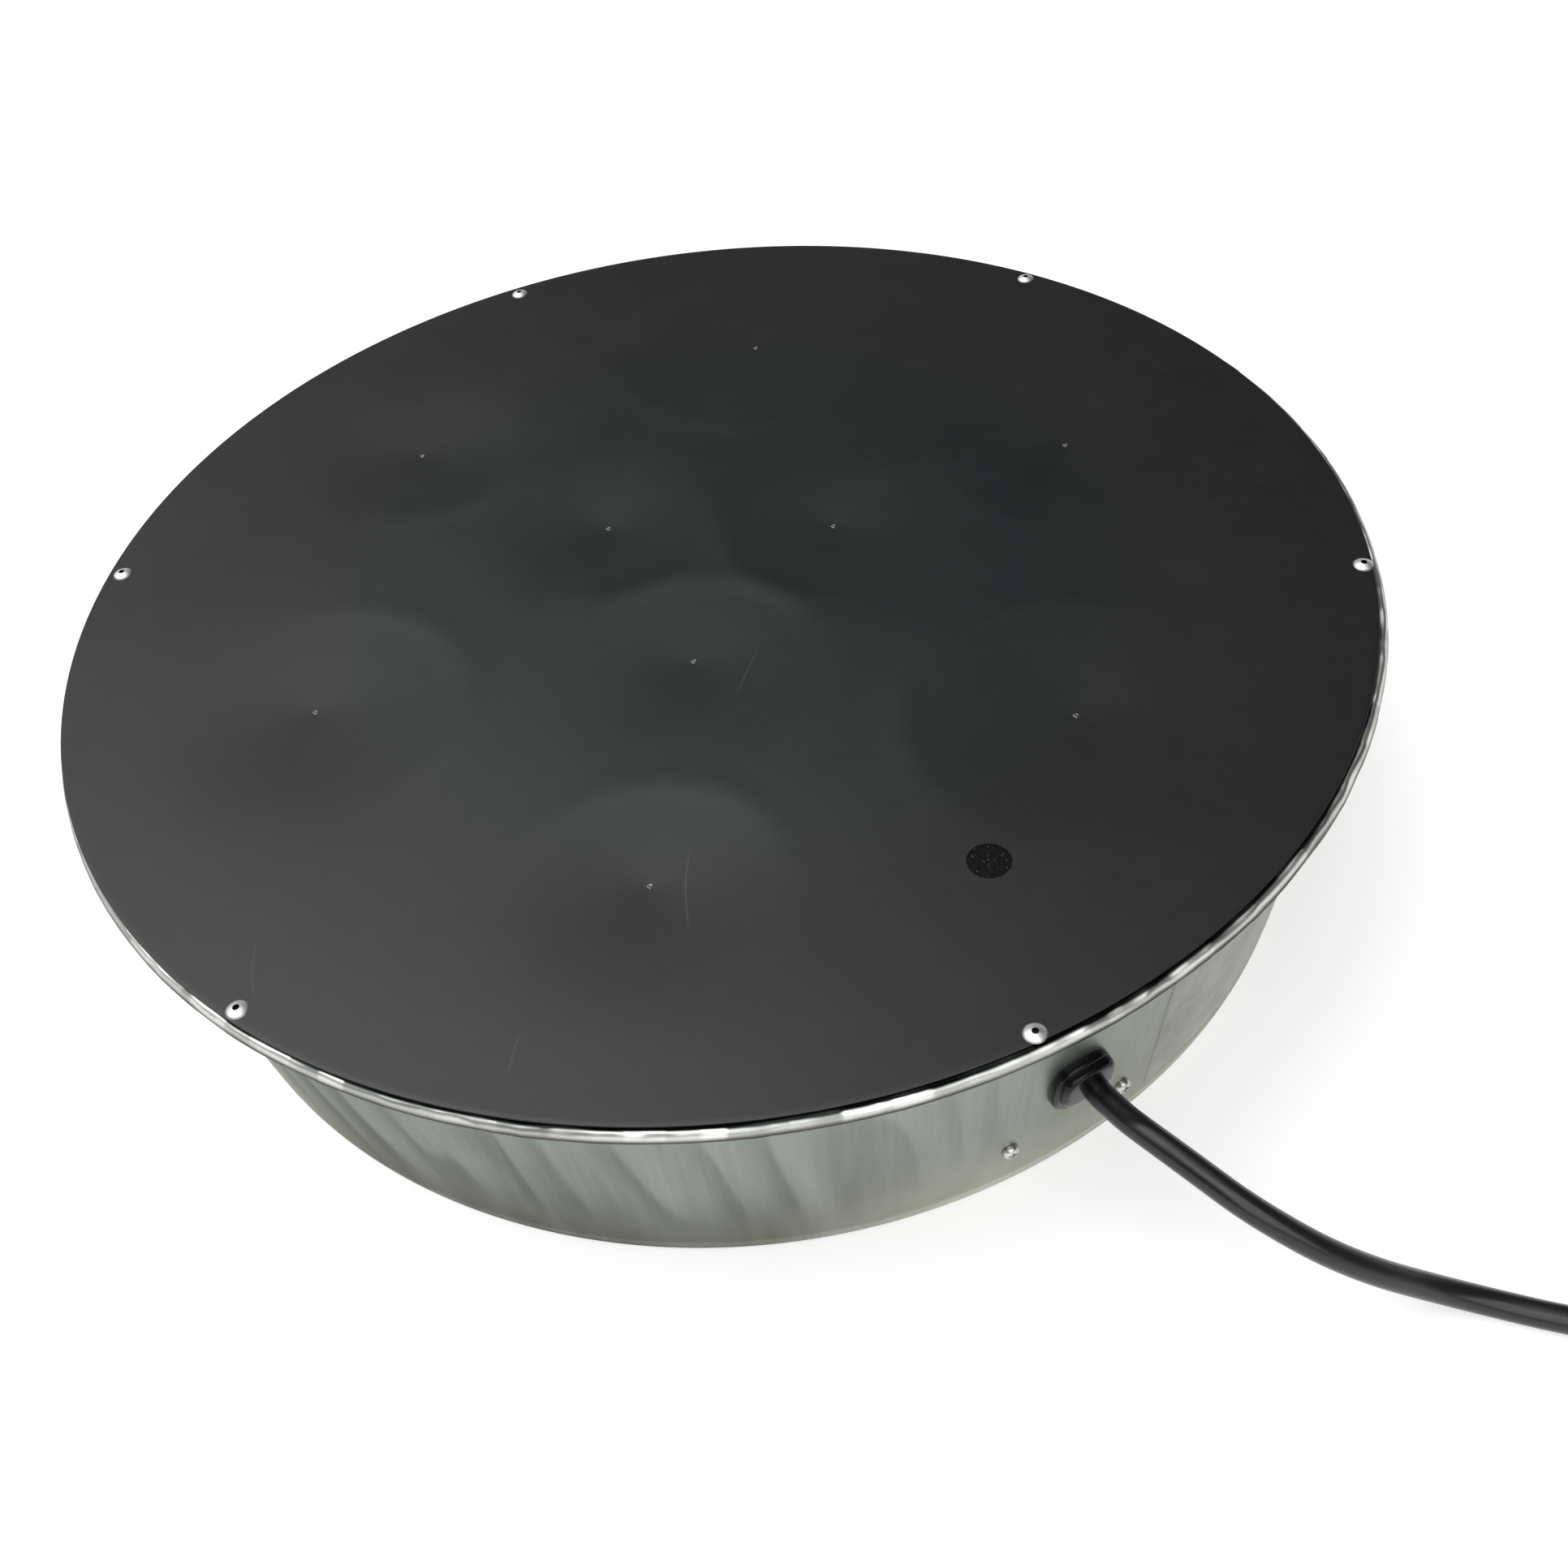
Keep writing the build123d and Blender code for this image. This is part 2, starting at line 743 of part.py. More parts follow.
# Pan-head screws through the wall, their nuts, and the earth ring under one nut
nut_seat = sheet + tray_clear + tray + ring_gap
ring_seat = nut_seat + ring_thickness + ring_gap
with BuildPart() as wall_screws:
    for screw_plane in screw_planes:
        with BuildSketch(screw_plane):
            Circle(screw_head / 2)
        extrude(amount=screw_head_height)
        head_face = faces(Select.LAST).sort_by(Axis(screw_plane.origin, screw_plane.z_dir))[-1]
        fillet(head_face.edges(), screw_head_round)
        with BuildSketch(screw_plane):
            Circle(screw_shank / 2)
        extrude(amount=-screw_length)
        with BuildSketch(screw_plane.offset(screw_head_height)):
            Rectangle(screw_recess_span, screw_recess_width)
            Rectangle(screw_recess_width, screw_recess_span)
        extrude(amount=-screw_recess, mode=Mode.SUBTRACT)
with BuildPart() as wall_nuts:
    for screw_plane, seat in zip(screw_planes, (ring_seat, nut_seat)):
        with BuildSketch(screw_plane.offset(-seat)):
            RegularPolygon(nut_flats / 2, 6, major_radius=False)
            Circle(screw_shank / 2 + thread_clear, mode=Mode.SUBTRACT)
        extrude(amount=-nut_height)
ring_plane = screw_planes[0]
ring_barrel_depth = nut_seat + barrel / 2 + ring_gap
with BuildPart() as earth_ring:
    with BuildSketch(ring_plane.offset(-nut_seat)):
        Circle(ring_size / 2)
        with Locations((0, 0)):
            tongue_length = ring_barrel_start + ring_barrel_length / 2
            Rectangle(ring_tongue, tongue_length, align=(Align.CENTER, Align.MIN))
        Circle(screw_hole / 2, mode=Mode.SUBTRACT)
    extrude(amount=-ring_thickness)
    barrel_start = ring_plane.from_local_coords((0, ring_barrel_start, -ring_barrel_depth))
    with BuildSketch(Plane(origin=barrel_start, z_dir=ring_plane.y_dir)):
        Circle(barrel / 2)
    extrude(amount=ring_barrel_length)
    with BuildSketch(Plane(origin=barrel_start, z_dir=ring_plane.y_dir)):
        Circle(conductor / 2 + conductor_clear)
    extrude(amount=ring_barrel_length, mode=Mode.SUBTRACT)

# Crimp cap that joins the neutral and return leads, standing on the tray
with BuildPart() as crimp_cap:
    with BuildSketch(Plane(origin=(cap_across, -cap_out, tray_floor))):
        Circle(cap_size / 2)
    extrude(amount=cap_height)
    fillet(crimp_cap.faces().sort_by(Axis.Z)[0].edges(), cap_round)
    with BuildSketch(Plane(origin=(cap_across, -cap_out, tray_floor + cap_height))):
        Circle(cap_bore / 2)
    extrude(amount=-cap_bore_depth, mode=Mode.SUBTRACT)

# Strain relief: flange and bar outside the wall, snap lip and nose inside
cord_spot = (0, -cord_drop)
with BuildPart() as cord_grip:
    with BuildSketch(grip_plane):
        Circle(grip_flange / 2)
        Rectangle(2 * grip_flange, grip_flange_height, mode=Mode.INTERSECT)
    extrude(amount=grip_flange_thickness)
    with BuildSketch(grip_plane):
        Circle(grip_neck / 2)
        Rectangle(2 * grip_neck, grip_flats, mode=Mode.INTERSECT)
    extrude(amount=-grip_neck_length)
    with BuildSketch(grip_plane.offset(-grip_lip_start)):
        Circle(grip_neck / 2 + grip_lip)
        Rectangle(2 * grip_neck, grip_flats + 2 * grip_lip, mode=Mode.INTERSECT)
    extrude(amount=grip_lip_start - grip_neck_length)
    with BuildSketch(grip_plane.offset(-grip_neck_length)):
        Circle(grip_nose / 2)
    extrude(amount=grip_neck_length - grip_nose_length)
    with BuildSketch(grip_plane.offset(grip_flange_thickness)):
        with Locations(cord_spot):
            Circle(grip_collar / 2)
    extrude(amount=grip_collar_length - grip_flange_thickness)
    with BuildSketch(grip_plane):
        with Locations((0, grip_bar_rise)):
            RectangleRounded(grip_bar_width, grip_bar_height, grip_bar_corner)
    extrude(amount=grip_bar_length)
    bar_axis = Axis(grip_plane.origin, grip_plane.z_dir)
    fillet(cord_grip.faces().sort_by(bar_axis)[-1].edges(), grip_bar_edge)
    with BuildSketch(grip_plane.offset(-grip_nose_length)):
        with Locations(cord_spot):
            Circle(cord / 2 + cord_clear)
        with Locations((0, -cord_drop + cord / 2)):
            Rectangle(wedge_width + 2 * wedge_clear, 2 * wedge_height)
    extrude(amount=grip_nose_length + grip_bar_length, mode=Mode.SUBTRACT)
    with BuildSketch(grip_plane.offset(grip_collar_length)):
        with Locations(cord_spot):
            Circle(cord / 2 + cord_flare)
    extrude(amount=grip_bar_length - grip_collar_length, mode=Mode.SUBTRACT)

# Wedge that clamps the cord in the strain relief
with BuildPart() as grip_wedge:
    with BuildSketch(grip_plane.offset(-grip_nose_length)):
        with Locations((0, -cord_drop + cord / 2)):
            Rectangle(wedge_width, wedge_height - wedge_clear, align=(Align.CENTER, Align.MIN))
        with Locations(cord_spot):
            Circle(cord / 2 + cord_clear, mode=Mode.SUBTRACT)
    extrude(amount=grip_nose_length + grip_bar_length - grip_bar_edge)

# The cord where the strain relief holds it, and its stripped end inside
with BuildPart() as cord_tail:
    with BuildSketch(grip_plane.offset(-tail_in)):
        with Locations(cord_spot):
            Circle(cord / 2)
    extrude(amount=tail_in + tail_out)


def tail_spot(across, rise, beyond):
    """Spot at or beyond the cord's stripped end, measured from the cord's axis."""
    return grip_plane.from_local_coords((across, rise - cord_drop, -tail_in - beyond))


# Leads: supply to thermostat, thermostat to element, element to cap, neutral to cap, earth to ring
barrel_height = plate_bottom - barrel_bottom
lead_top = plate_bottom - barrel_top - conductor_clear
loose_end = 2 * lead_bend
terminal_foot = barrel_height - 2 * lead_bend
over_tail = tail_spot(0, cord / 2, 0).Z + lead_over
live_lead = lead(
    [
        tail_spot(-conductor_spread, conductor_spread / 2, 0),
        tail_spot(-conductor_spread, conductor_spread / 2, loose_end),
        (-terminal_across, -sensor_radius, terminal_foot),
        (-terminal_across, -sensor_radius, lead_top),
    ],
    conductor,
    lead_bend,
)
start_turn = radians(-90 + start_gap)
cable_start = Vector(loop_radius * cos(start_turn), loop_radius * sin(start_turn), cable_height)
cable_way = Vector(-sin(start_turn), cos(start_turn), 0)
rise_spot = cable_start - cable_way * (ferrule_length + lead_bend)
switched_lead = lead(
    [
        (terminal_across, -sensor_radius, lead_top),
        (terminal_across, -sensor_radius, terminal_foot),
        (0, (cable_start.Y - sensor_radius) / 2, over_tail),
        (rise_spot.X, rise_spot.Y, over_tail + 2.4 * lead_bend),
        rise_spot,
        cable_start - cable_way * lead_gap,
    ],
    conductor,
    lead_bend,
)
cap_mouth = tray_floor + cap_height
return_drop = return_run_end - return_lead_drop
return_lead = lead(
    [
        (return_run_across, return_run_end - lead_gap, cable_height),
        (return_run_across, return_drop, cable_height),
        (return_run_across, return_drop, cap_mouth + 7 * lead_bend),
        (cap_across + cap_split, return_drop - 3 * lead_bend, cap_mouth + 4 * lead_bend),
        (cap_across + cap_split, -cap_out, cap_mouth + 2 * lead_bend),
        (cap_across + cap_split, -cap_out, cap_mouth - cap_entry),
    ],
    conductor,
    lead_bend,
)
neutral_bend = tail_spot(conductor_spread, -conductor_spread / 4, loose_end)
neutral_lead = lead(
    [
        tail_spot(conductor_spread, -conductor_spread / 4, 0),
        neutral_bend,
        (neutral_bend.X + 2.5 * lead_bend, neutral_bend.Y, neutral_bend.Z - 1.5 * lead_bend),
        (cap_across - cap_split, neutral_bend.Y - 2.5 * lead_bend, cap_mouth + 3 * lead_bend),
        (cap_across - cap_split, -cap_out, cap_mouth + 2 * lead_bend),
        (cap_across - cap_split, -cap_out, cap_mouth - cap_entry),
    ],
    conductor,
    lead_bend,
)
earth_bend = tail_spot(0, -conductor_spread, loose_end)
earth_entry = ring_plane.from_local_coords(
    (0, ring_barrel_start + ring_barrel_length + 3 * lead_bend, -ring_barrel_depth)
)
earth_lead = lead(
    [
        tail_spot(0, -conductor_spread, 0),
        earth_bend,
        (earth_bend.X - 3 * lead_bend, earth_bend.Y, earth_bend.Z),
        (earth_entry.X, (earth_bend.Y + earth_entry.Y) / 2, earth_bend.Z),
        (earth_entry.X, earth_entry.Y + 2 * lead_bend, earth_entry.Z + lead_bend),
        earth_entry,
        ring_plane.from_local_coords((0, ring_barrel_start + conductor_clear, -ring_barrel_depth)),
    ],
    conductor,
    lead_bend,
)

# Ferrules that join the element's ends to their leads
ferrule = cable / 2 + ferrule_clear
with BuildPart() as element_ferrules:
    with BuildSketch(Plane(origin=cable_start, z_dir=cable_way)):
        Circle(ferrule + ferrule_wall)
        Circle(ferrule, mode=Mode.SUBTRACT)
    extrude(amount=ferrule_length / 2, both=True)
    with BuildSketch(Plane(origin=(return_run_across, return_run_end, cable_height), z_dir=(0, -1, 0))):
        Circle(ferrule + ferrule_wall)
        Circle(ferrule, mode=Mode.SUBTRACT)
    extrude(amount=ferrule_length / 2, both=True)

# Blank foil label on the wall beside the cord
label_skin = label_gap + label_thickness
label_start = wall_turn(label_offset, label_low)
label_sweep = degrees(label_width / wall_radius(label_low))
with BuildPart() as foil_label:
    with BuildSketch(radial_plane(label_start)):
        with BuildLine():
            Polyline(
                (wall_radius(label_low) + label_gap, label_low),
                (wall_radius(label_low) + label_skin, label_low),
                (wall_radius(label_high) + label_skin, label_high),
                (wall_radius(label_high) + label_gap, label_high),
                close=True,
            )
        make_face()
    revolve(axis=Axis.Z, revolution_arc=label_sweep)

# Free cord: from the strain relief down to the ground and along it to the coil.
# Its points are measured across and out from where it leaves the strain relief.
coil_low = tie_thickness + tie_gap + cord / 2
cord_exit = grip_plane.from_local_coords((0, -cord_drop, tail_out))
cord_route = [cord_exit, cord_exit + grip_plane.z_dir * cord_first_run]
for across, out, drop in cord_hang:
    cord_route.append(cord_exit + Vector(across, -out, -drop))
for across, out in cord_ground:
    cord_route.append(Vector(across, cord_exit.Y - out, cord / 2))
for across, out in cord_run_in:
    cord_route.append(Vector(across, cord_exit.Y - out, coil_low))


def route_radii(route):
    """Largest bend at each inner point: 0.45 of its shorter run over the tangent of half its turn."""
    radii = []
    for before, here, after in zip(route, route[1:], route[2:]):
        turn = (here - before).get_angle(after - here)
        shorter = min((here - before).length, (after - here).length)
        radii.append(0.45 * shorter / tan(radians(turn) / 2))
    return radii


cord_radii = route_radii(cord_route)
with BuildPart() as power_cord:
    with BuildLine():
        cord_path = FilletPolyline(*cord_route, radius=cord_radii)
    with BuildSketch(Plane(origin=cord_path @ 0, z_dir=cord_path % 0)):
        Circle(cord / 2)
    sweep()
cord_section = pi * cord**2 / 4
cord_length = cord_path.length
print("cord bends", [round(r) for r in cord_radii], "length", round(cord_length, 1))
print("cord volume over section times length", round(power_cord.part.volume / cord_section / cord_length, 4))

# Coil: spirals in on the ground, climbs a layer in the half turn where it reverses, and spirals out
coil_heading = (cord_route[-1] - cord_route[-2]).normalized()
coil_left = Vector(-coil_heading.Y, coil_heading.X, 0)
coil_start = cord_route[-1] + coil_heading * cord
coil_centre = coil_start + coil_left * coil_outer_radius
coil_entry = -coil_left
entry_turn = Vector(1, 0, 0).get_signed_angle(coil_entry, Vector(0, 0, 1))
coil_sweep = radians(coil_exit_turn - entry_turn + 360 * coil_full_turns)


def coil_spot(swept):
    """Centre of the cord after winding through an angle in radians, from the coil's start."""
    angle = radians(entry_turn) + swept
    radius = coil_outer_radius - coil_pitch * min(swept, coil_sweep - swept) / (2 * pi)
    climbed = min(max((swept - coil_sweep / 2) / pi + 0.5, 0), 1)
    rise = coil_layer * (1 - cos(pi * climbed)) / 2
    return coil_centre + Vector(radius * cos(angle), radius * sin(angle), rise)


def coil_tangent(swept):
    """Unit direction of the cord there, square to the radius at both ends and at the reversal."""
    angle = radians(entry_turn) + swept
    ends = (0, coil_sweep / 2, coil_sweep)
    if min(abs(swept - end) for end in ends) < 1e-6:
        rise = (coil_spot(min(swept + 1e-3, coil_sweep)) - coil_spot(max(swept - 1e-3, 0))).Z
        flat = coil_outer_radius - coil_pitch * min(swept, coil_sweep - swept) / (2 * pi)
        return Vector(-sin(angle) * flat, cos(angle) * flat, rise / 2e-3).normalized()
    return (coil_spot(swept + 1e-3) - coil_spot(swept - 1e-3)).normalized()


def biarc(start, start_way, end, end_way):
    """Two arcs from start to end that leave and arrive along the given directions."""
    span = end - start
    both = start_way + end_way
    spread = 2 * (1 - start_way.dot(end_way))
    along = span.dot(both)
    reach = (sqrt(along**2 + spread * span.dot(span)) - along) / spread
    first_corner = start + start_way * reach
    last_corner = end - end_way * reach
    middle = (first_corner + last_corner) / 2
    TangentArc(start, middle, tangent=start_way)
    TangentArc(middle, end, tangent=last_corner - first_corner)


coil_steps = 2 * round(coil_sweep / pi)
knots = [coil_sweep * step / coil_steps for step in range(coil_steps + 1)]
with BuildPart() as cord_coil:
    with BuildLine() as coil_lines:
        run_in = Line(cord_route[-1], coil_start)
        for here, after in zip(knots, knots[1:]):
            biarc(coil_spot(here), coil_tangent(here), coil_spot(after), coil_tangent(after))
        coil_way = coil_tangent(coil_sweep)
        coil_end = coil_spot(coil_sweep) + coil_way * coil_run_out
        Line(coil_spot(coil_sweep), coil_end)
    with BuildSketch(Plane(origin=run_in @ 0, z_dir=run_in % 0)):
        Circle(cord / 2)
    sweep()
coil_path = coil_lines.wires()[0]
coil_length = coil_path.length
coil_samples = 480
coil_spots = [coil_path @ (step / coil_samples) for step in range(coil_samples + 1)]
apart = round(coil_samples * pi * coil_outer_radius / 2 / coil_length)
least_gap = min(
    (here - there).length - cord
    for index, here in enumerate(coil_spots)
    for there in coil_spots[index + apart :]
)
print("coil length", round(coil_length, 1), "least gap to itself", round(least_gap, 2))
print("coil volume over section times length", round(cord_coil.part.volume / cord_section / coil_length, 4))
print("cord and coil together", round(cord_length + coil_length, 1))

# Tie round the coil's bundle
coil_inner_radius = coil_outer_radius - coil_pitch * coil_sweep / (4 * pi)
bundle_width = coil_outer_radius - coil_inner_radius + cord + 2 * tie_side_gap
bundle_height = coil_layer + cord + 2 * tie_gap
tie_radius = (coil_outer_radius + coil_inner_radius) / 2
tie_angle = radians(tie_turn)
tie_out = Vector(cos(tie_angle), sin(tie_angle), 0)
tie_plane = Plane(
    origin=coil_centre + tie_out * tie_radius + Vector(0, 0, coil_layer / 2),
    x_dir=tie_out,
    z_dir=(sin(tie_angle), -cos(tie_angle), 0),
)
with BuildPart() as coil_tie:
    with BuildSketch(tie_plane):
        RectangleRounded(bundle_width + 2 * tie_thickness, bundle_height + 2 * tie_thickness, tie_corner)
        RectangleRounded(bundle_width, bundle_height, tie_corner - tie_thickness, mode=Mode.SUBTRACT)
    extrude(amount=tie_width / 2, both=True)

# Plug at the cord's end: a tail, a neck and a body, with two blades and a round earth pin
plug_plane = Plane(origin=coil_end, x_dir=(-coil_way.Y, coil_way.X, 0), z_dir=coil_way)
plug_axis = Axis(plug_plane.origin, plug_plane.z_dir)
plug_face = plug_plane.offset(plug_tail_length + plug_length)
blade_spots = [(-blade_spacing / 2, -blade_drop), (blade_spacing / 2, -blade_drop)]
earth_spot = (0, earth_pin_offset - blade_drop)
with BuildPart() as plug_body:
    with BuildSketch(plug_plane):
        Circle(plug_tail / 2)
    with BuildSketch(plug_plane.offset(plug_tail_length)):
        Circle(plug_neck / 2)
    loft()
    with BuildSketch(plug_plane.offset(plug_tail_length)):
        Circle(plug_neck / 2)
    with BuildSketch(plug_plane.offset(plug_tail_length + plug_neck_length)):
        RectangleRounded(plug_width, plug_height, plug_corner)
    loft()
    with BuildSketch(plug_plane.offset(plug_tail_length + plug_neck_length)):
        RectangleRounded(plug_width, plug_height, plug_corner)
    extrude(amount=plug_length - plug_neck_length)
    fillet(plug_body.faces().sort_by(plug_axis)[-1].edges(), plug_edge)
    with BuildSketch(plug_face):
        with Locations(*blade_spots):
            Rectangle(blade_thickness + 2 * plug_socket_clear, blade_width + 2 * plug_socket_clear)
        with Locations(earth_spot):
            Circle(earth_pin / 2 + plug_socket_clear)
    extrude(amount=-blade_depth, mode=Mode.SUBTRACT)
with BuildPart() as plug_blades:
    with BuildSketch(plug_face.offset(-blade_depth)):
        with Locations(*blade_spots):
            Rectangle(blade_thickness, blade_width)
    extrude(amount=blade_depth + blade_length)
with BuildPart() as plug_earth_pin:
    with BuildSketch(plug_face.offset(-blade_depth)):
        with Locations(earth_spot):
            Circle(earth_pin / 2)
    extrude(amount=blade_depth + earth_pin_length)
    fillet(plug_earth_pin.faces().sort_by(plug_axis)[-1].edges(), earth_pin_round)

pieces = {
    "pan": pan,
    "heater_plate": heater_plate,
    "plate_rivets": plate_rivets,
    "rivet_stems": rivet_stems,
    "sensor_plug": sensor_plug,
    "weld_pins": weld_pins,
    "pin_washers": pin_washers,
    "element_foil": element_foil,
    "heating_cable": heating_cable,
    "cover_foil": cover_foil,
    "insulation_blanket": insulation_blanket,
    "thermostat_cup": thermostat_cup,
    "bimetal_disc": bimetal_disc,
    "thermostat_body": thermostat_body,
    "transfer_pin": transfer_pin,
    "contact_arm": contact_arm,
    "arm_terminal": arm_terminal,
    "fixed_terminal": fixed_terminal,
    "thermostat_base": thermostat_base,
    "thermostat_bracket": thermostat_bracket,
    "lead_receptacles": lead_receptacles,
    "live_lead": live_lead,
    "switched_lead": switched_lead,
    "return_lead": return_lead,
    "neutral_lead": neutral_lead,
    "earth_lead": earth_lead,
    "element_ferrules": element_ferrules,
    "crimp_cap": crimp_cap,
    "earth_ring": earth_ring,
    "splice_tray": splice_tray,
    "wall_screws": wall_screws,
    "wall_nuts": wall_nuts,
    "cord_grip": cord_grip,
    "grip_wedge": grip_wedge,
    "cord_tail": cord_tail,
    "foil_label": foil_label,
    "power_cord": power_cord,
    "cord_coil": cord_coil,
    "coil_tie": coil_tie,
    "plug_body": plug_body,
    "plug_blades": plug_blades,
    "plug_earth_pin": plug_earth_pin,
}
for name, piece in pieces.items():
    piece.part.label = name
    export_step(piece.part, f"parts/{name}.step")
print(len(pieces), "pieces; arm hinge height", round(plate_bottom - arm_middle, 3))
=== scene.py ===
# %% [markdown]
# # A heated base for a poultry drinker
# The object is a shallow galvanised pan with a rolled rim. A black steel plate is riveted over it, a foil
# heater and a thermostat hide under the plate, and a black mains cord leaves the wall.
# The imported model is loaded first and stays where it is. Everything after that only adds looks to it:
# finer skins for the pan and the plate, one smooth cord, finishes for every piece, light and a camera.

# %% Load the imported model
import json
import math

import bpy
import numpy as np
from mathutils import Matrix, Vector


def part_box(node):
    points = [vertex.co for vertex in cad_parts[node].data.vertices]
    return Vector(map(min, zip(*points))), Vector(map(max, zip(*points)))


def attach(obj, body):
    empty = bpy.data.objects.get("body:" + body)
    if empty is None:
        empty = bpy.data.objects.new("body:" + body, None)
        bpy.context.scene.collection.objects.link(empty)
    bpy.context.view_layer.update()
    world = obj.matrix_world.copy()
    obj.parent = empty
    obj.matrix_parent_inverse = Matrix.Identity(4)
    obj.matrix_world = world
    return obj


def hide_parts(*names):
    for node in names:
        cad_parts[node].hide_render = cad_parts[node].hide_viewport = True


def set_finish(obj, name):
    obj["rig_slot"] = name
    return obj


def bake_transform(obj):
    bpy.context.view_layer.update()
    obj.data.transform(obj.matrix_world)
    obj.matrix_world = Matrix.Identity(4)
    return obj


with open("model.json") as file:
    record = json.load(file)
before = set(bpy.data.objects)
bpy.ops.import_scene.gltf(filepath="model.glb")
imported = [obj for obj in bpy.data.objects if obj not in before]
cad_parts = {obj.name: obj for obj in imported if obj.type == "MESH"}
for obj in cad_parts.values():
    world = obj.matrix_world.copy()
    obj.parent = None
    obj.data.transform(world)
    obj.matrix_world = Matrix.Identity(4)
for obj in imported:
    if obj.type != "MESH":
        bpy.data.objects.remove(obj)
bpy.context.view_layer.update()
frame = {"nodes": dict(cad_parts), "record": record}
nodes = frame["nodes"]
MM = 0.001
FULL_TURN = 2 * math.pi

# %% [markdown]
# ## Camera
# The picture was taken from above and in front, a little to the left, with the camera rolled. A camera is
# placed by its spot and three angles: the turn from +Y towards +X, the dip below level and the roll.
# Building the matrix from its three directions keeps each angle readable, which Euler angles would not.

# %% Camera at the picture's viewing angle
camera_spot = Vector((-0.16508, -0.37623, 0.4194))
camera_turn = math.radians(25.7)
camera_dip = math.radians(46.497)
camera_roll = math.radians(7.31)
camera_lens = 36.793
sensor_width = 36.0


def aim_camera(turn, dip, roll):
    """Directions to the right, up and backwards of a camera with a turn, a dip and a roll."""
    ahead = Vector((math.sin(turn) * math.cos(dip), math.cos(turn) * math.cos(dip), -math.sin(dip)))
    level = Vector((math.cos(turn), -math.sin(turn), 0))
    lifted = level.cross(ahead)
    right = level * math.cos(roll) - lifted * math.sin(roll)
    up = level * math.sin(roll) + lifted * math.cos(roll)
    return right, up, -ahead


def add_to_scene(name, data):
    """A new object at the origin that holds some data."""
    made = bpy.data.objects.new(name, data)
    bpy.context.scene.collection.objects.link(made)
    return made


camera = add_to_scene("camera", bpy.data.cameras.new("camera"))
camera.data.lens = camera_lens
camera.data.sensor_width = sensor_width
turned = Matrix(aim_camera(camera_turn, camera_dip, camera_roll)).transposed().to_4x4()
camera.matrix_world = Matrix.Translation(camera_spot) @ turned
bpy.context.scene.camera = camera
print("camera at", tuple(camera_spot), "lens", camera_lens)

# %% [markdown]
# ## Mains cord
# The cord leaves the strain relief, sags to the floor, runs along it and ends in a neat tied coil with the
# plug. A cord is best drawn as one smooth curve with a round bevel. A NURBS spline of order 3 only leans
# towards its control points, so a few listed points give a soft line with no kinks.
# The coil's turns are more points of the same spline. The spline passes inside its points, so the points of
# the coil stand a little outside the turns.

# %% Cord route
cord_size = 7.6 * MM
cord_route = [
    (0.0, -0.20254, 0.04386),
    (0.00050, -0.21050, 0.04400),
    (0.00190, -0.21850, 0.04470),
    (0.00570, -0.23090, 0.04320),
    (0.01260, -0.25000, 0.03840),
    (0.02930, -0.26930, 0.02390),
    (0.05650, -0.28520, 0.00380),
    (0.07700, -0.30860, 0.00380),
    (0.09900, -0.32930, 0.00510),
    (0.12160, -0.34880, 0.00510),
]
print("cord route", len(cord_route), "points")

# %% Coil of the length that is put away
coil_radius = 56.6 * MM
coil_pitch = 8.3 * MM
coil_layer = 8.2 * MM
coil_full_turns = 5
coil_points_per_turn = 16
coil_run_out = (10.5 * MM, 30.0 * MM)
cord_heading = np.subtract(cord_route[-1], cord_route[-2])
cord_heading /= np.linalg.norm(cord_heading)
coil_left = np.array([-cord_heading[1], cord_heading[0], 0.0])
coil_centre = cord_route[-1] + cord_heading * cord_size + coil_left * coil_radius
coil_entry = math.atan2(-coil_left[1], -coil_left[0])
coil_sweep = FULL_TURN * coil_full_turns - coil_entry


def coil_section(swept):
    """Radius and height of the coil's line at a swept angle: the radius falls by one pitch a turn up to half
    way and grows again, and the line climbs one layer along a cosine in the half turn where it reverses."""
    radius = coil_radius - coil_pitch * np.minimum(swept, coil_sweep - swept) / FULL_TURN
    climbed = np.clip((swept - coil_sweep / 2) / math.pi + 0.5, 0, 1)
    return radius, coil_layer * (1 - np.cos(math.pi * climbed)) / 2


def coil_turns():
    """Control points of the coil: a spiral that winds in, climbs one layer, winds out again and leaves along
    +Y. The points stand outside the line by the cosine of half the angle between two of them."""
    count = round(coil_sweep / FULL_TURN * coil_points_per_turn)
    swept = np.linspace(0, coil_sweep, count + 1)
    radius, rise = coil_section(swept)
    outside = radius / math.cos(math.pi / coil_points_per_turn)
    angle = coil_entry + swept
    turns = np.stack([outside * np.cos(angle), outside * np.sin(angle), rise], axis=1) + coil_centre
    away = coil_centre + [coil_radius, 0, coil_layer]
    return np.vstack([turns[1:-1], [away + [0, distance, 0] for distance in coil_run_out]])


print("coil turns", round(coil_sweep / FULL_TURN, 2))

# %% Cord as one smooth curve
cord_points = np.vstack([cord_route, coil_turns()])
cord_curve = bpy.data.curves.new("mains_cord", "CURVE")
cord_curve.dimensions = "3D"
cord_curve.bevel_depth = 1.0
cord_curve.bevel_resolution = 6
cord_curve.use_fill_caps = True
cord_line = cord_curve.splines.new("NURBS")
cord_line.points.add(len(cord_points) - 1)
cord_line.points.foreach_set("co", np.column_stack([cord_points, np.ones(len(cord_points))]).ravel())
cord_line.points.foreach_set("radius", np.full(len(cord_points), cord_size / 2))
cord_line.order_u = 3
cord_line.use_endpoint_u = True
cord_line.resolution_u = 10
mains_cord = add_to_scene("mains_cord", cord_curve)
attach(mains_cord, "base")
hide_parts("power_cord", "cord_coil")
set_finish(mains_cord, "cord_jacket")
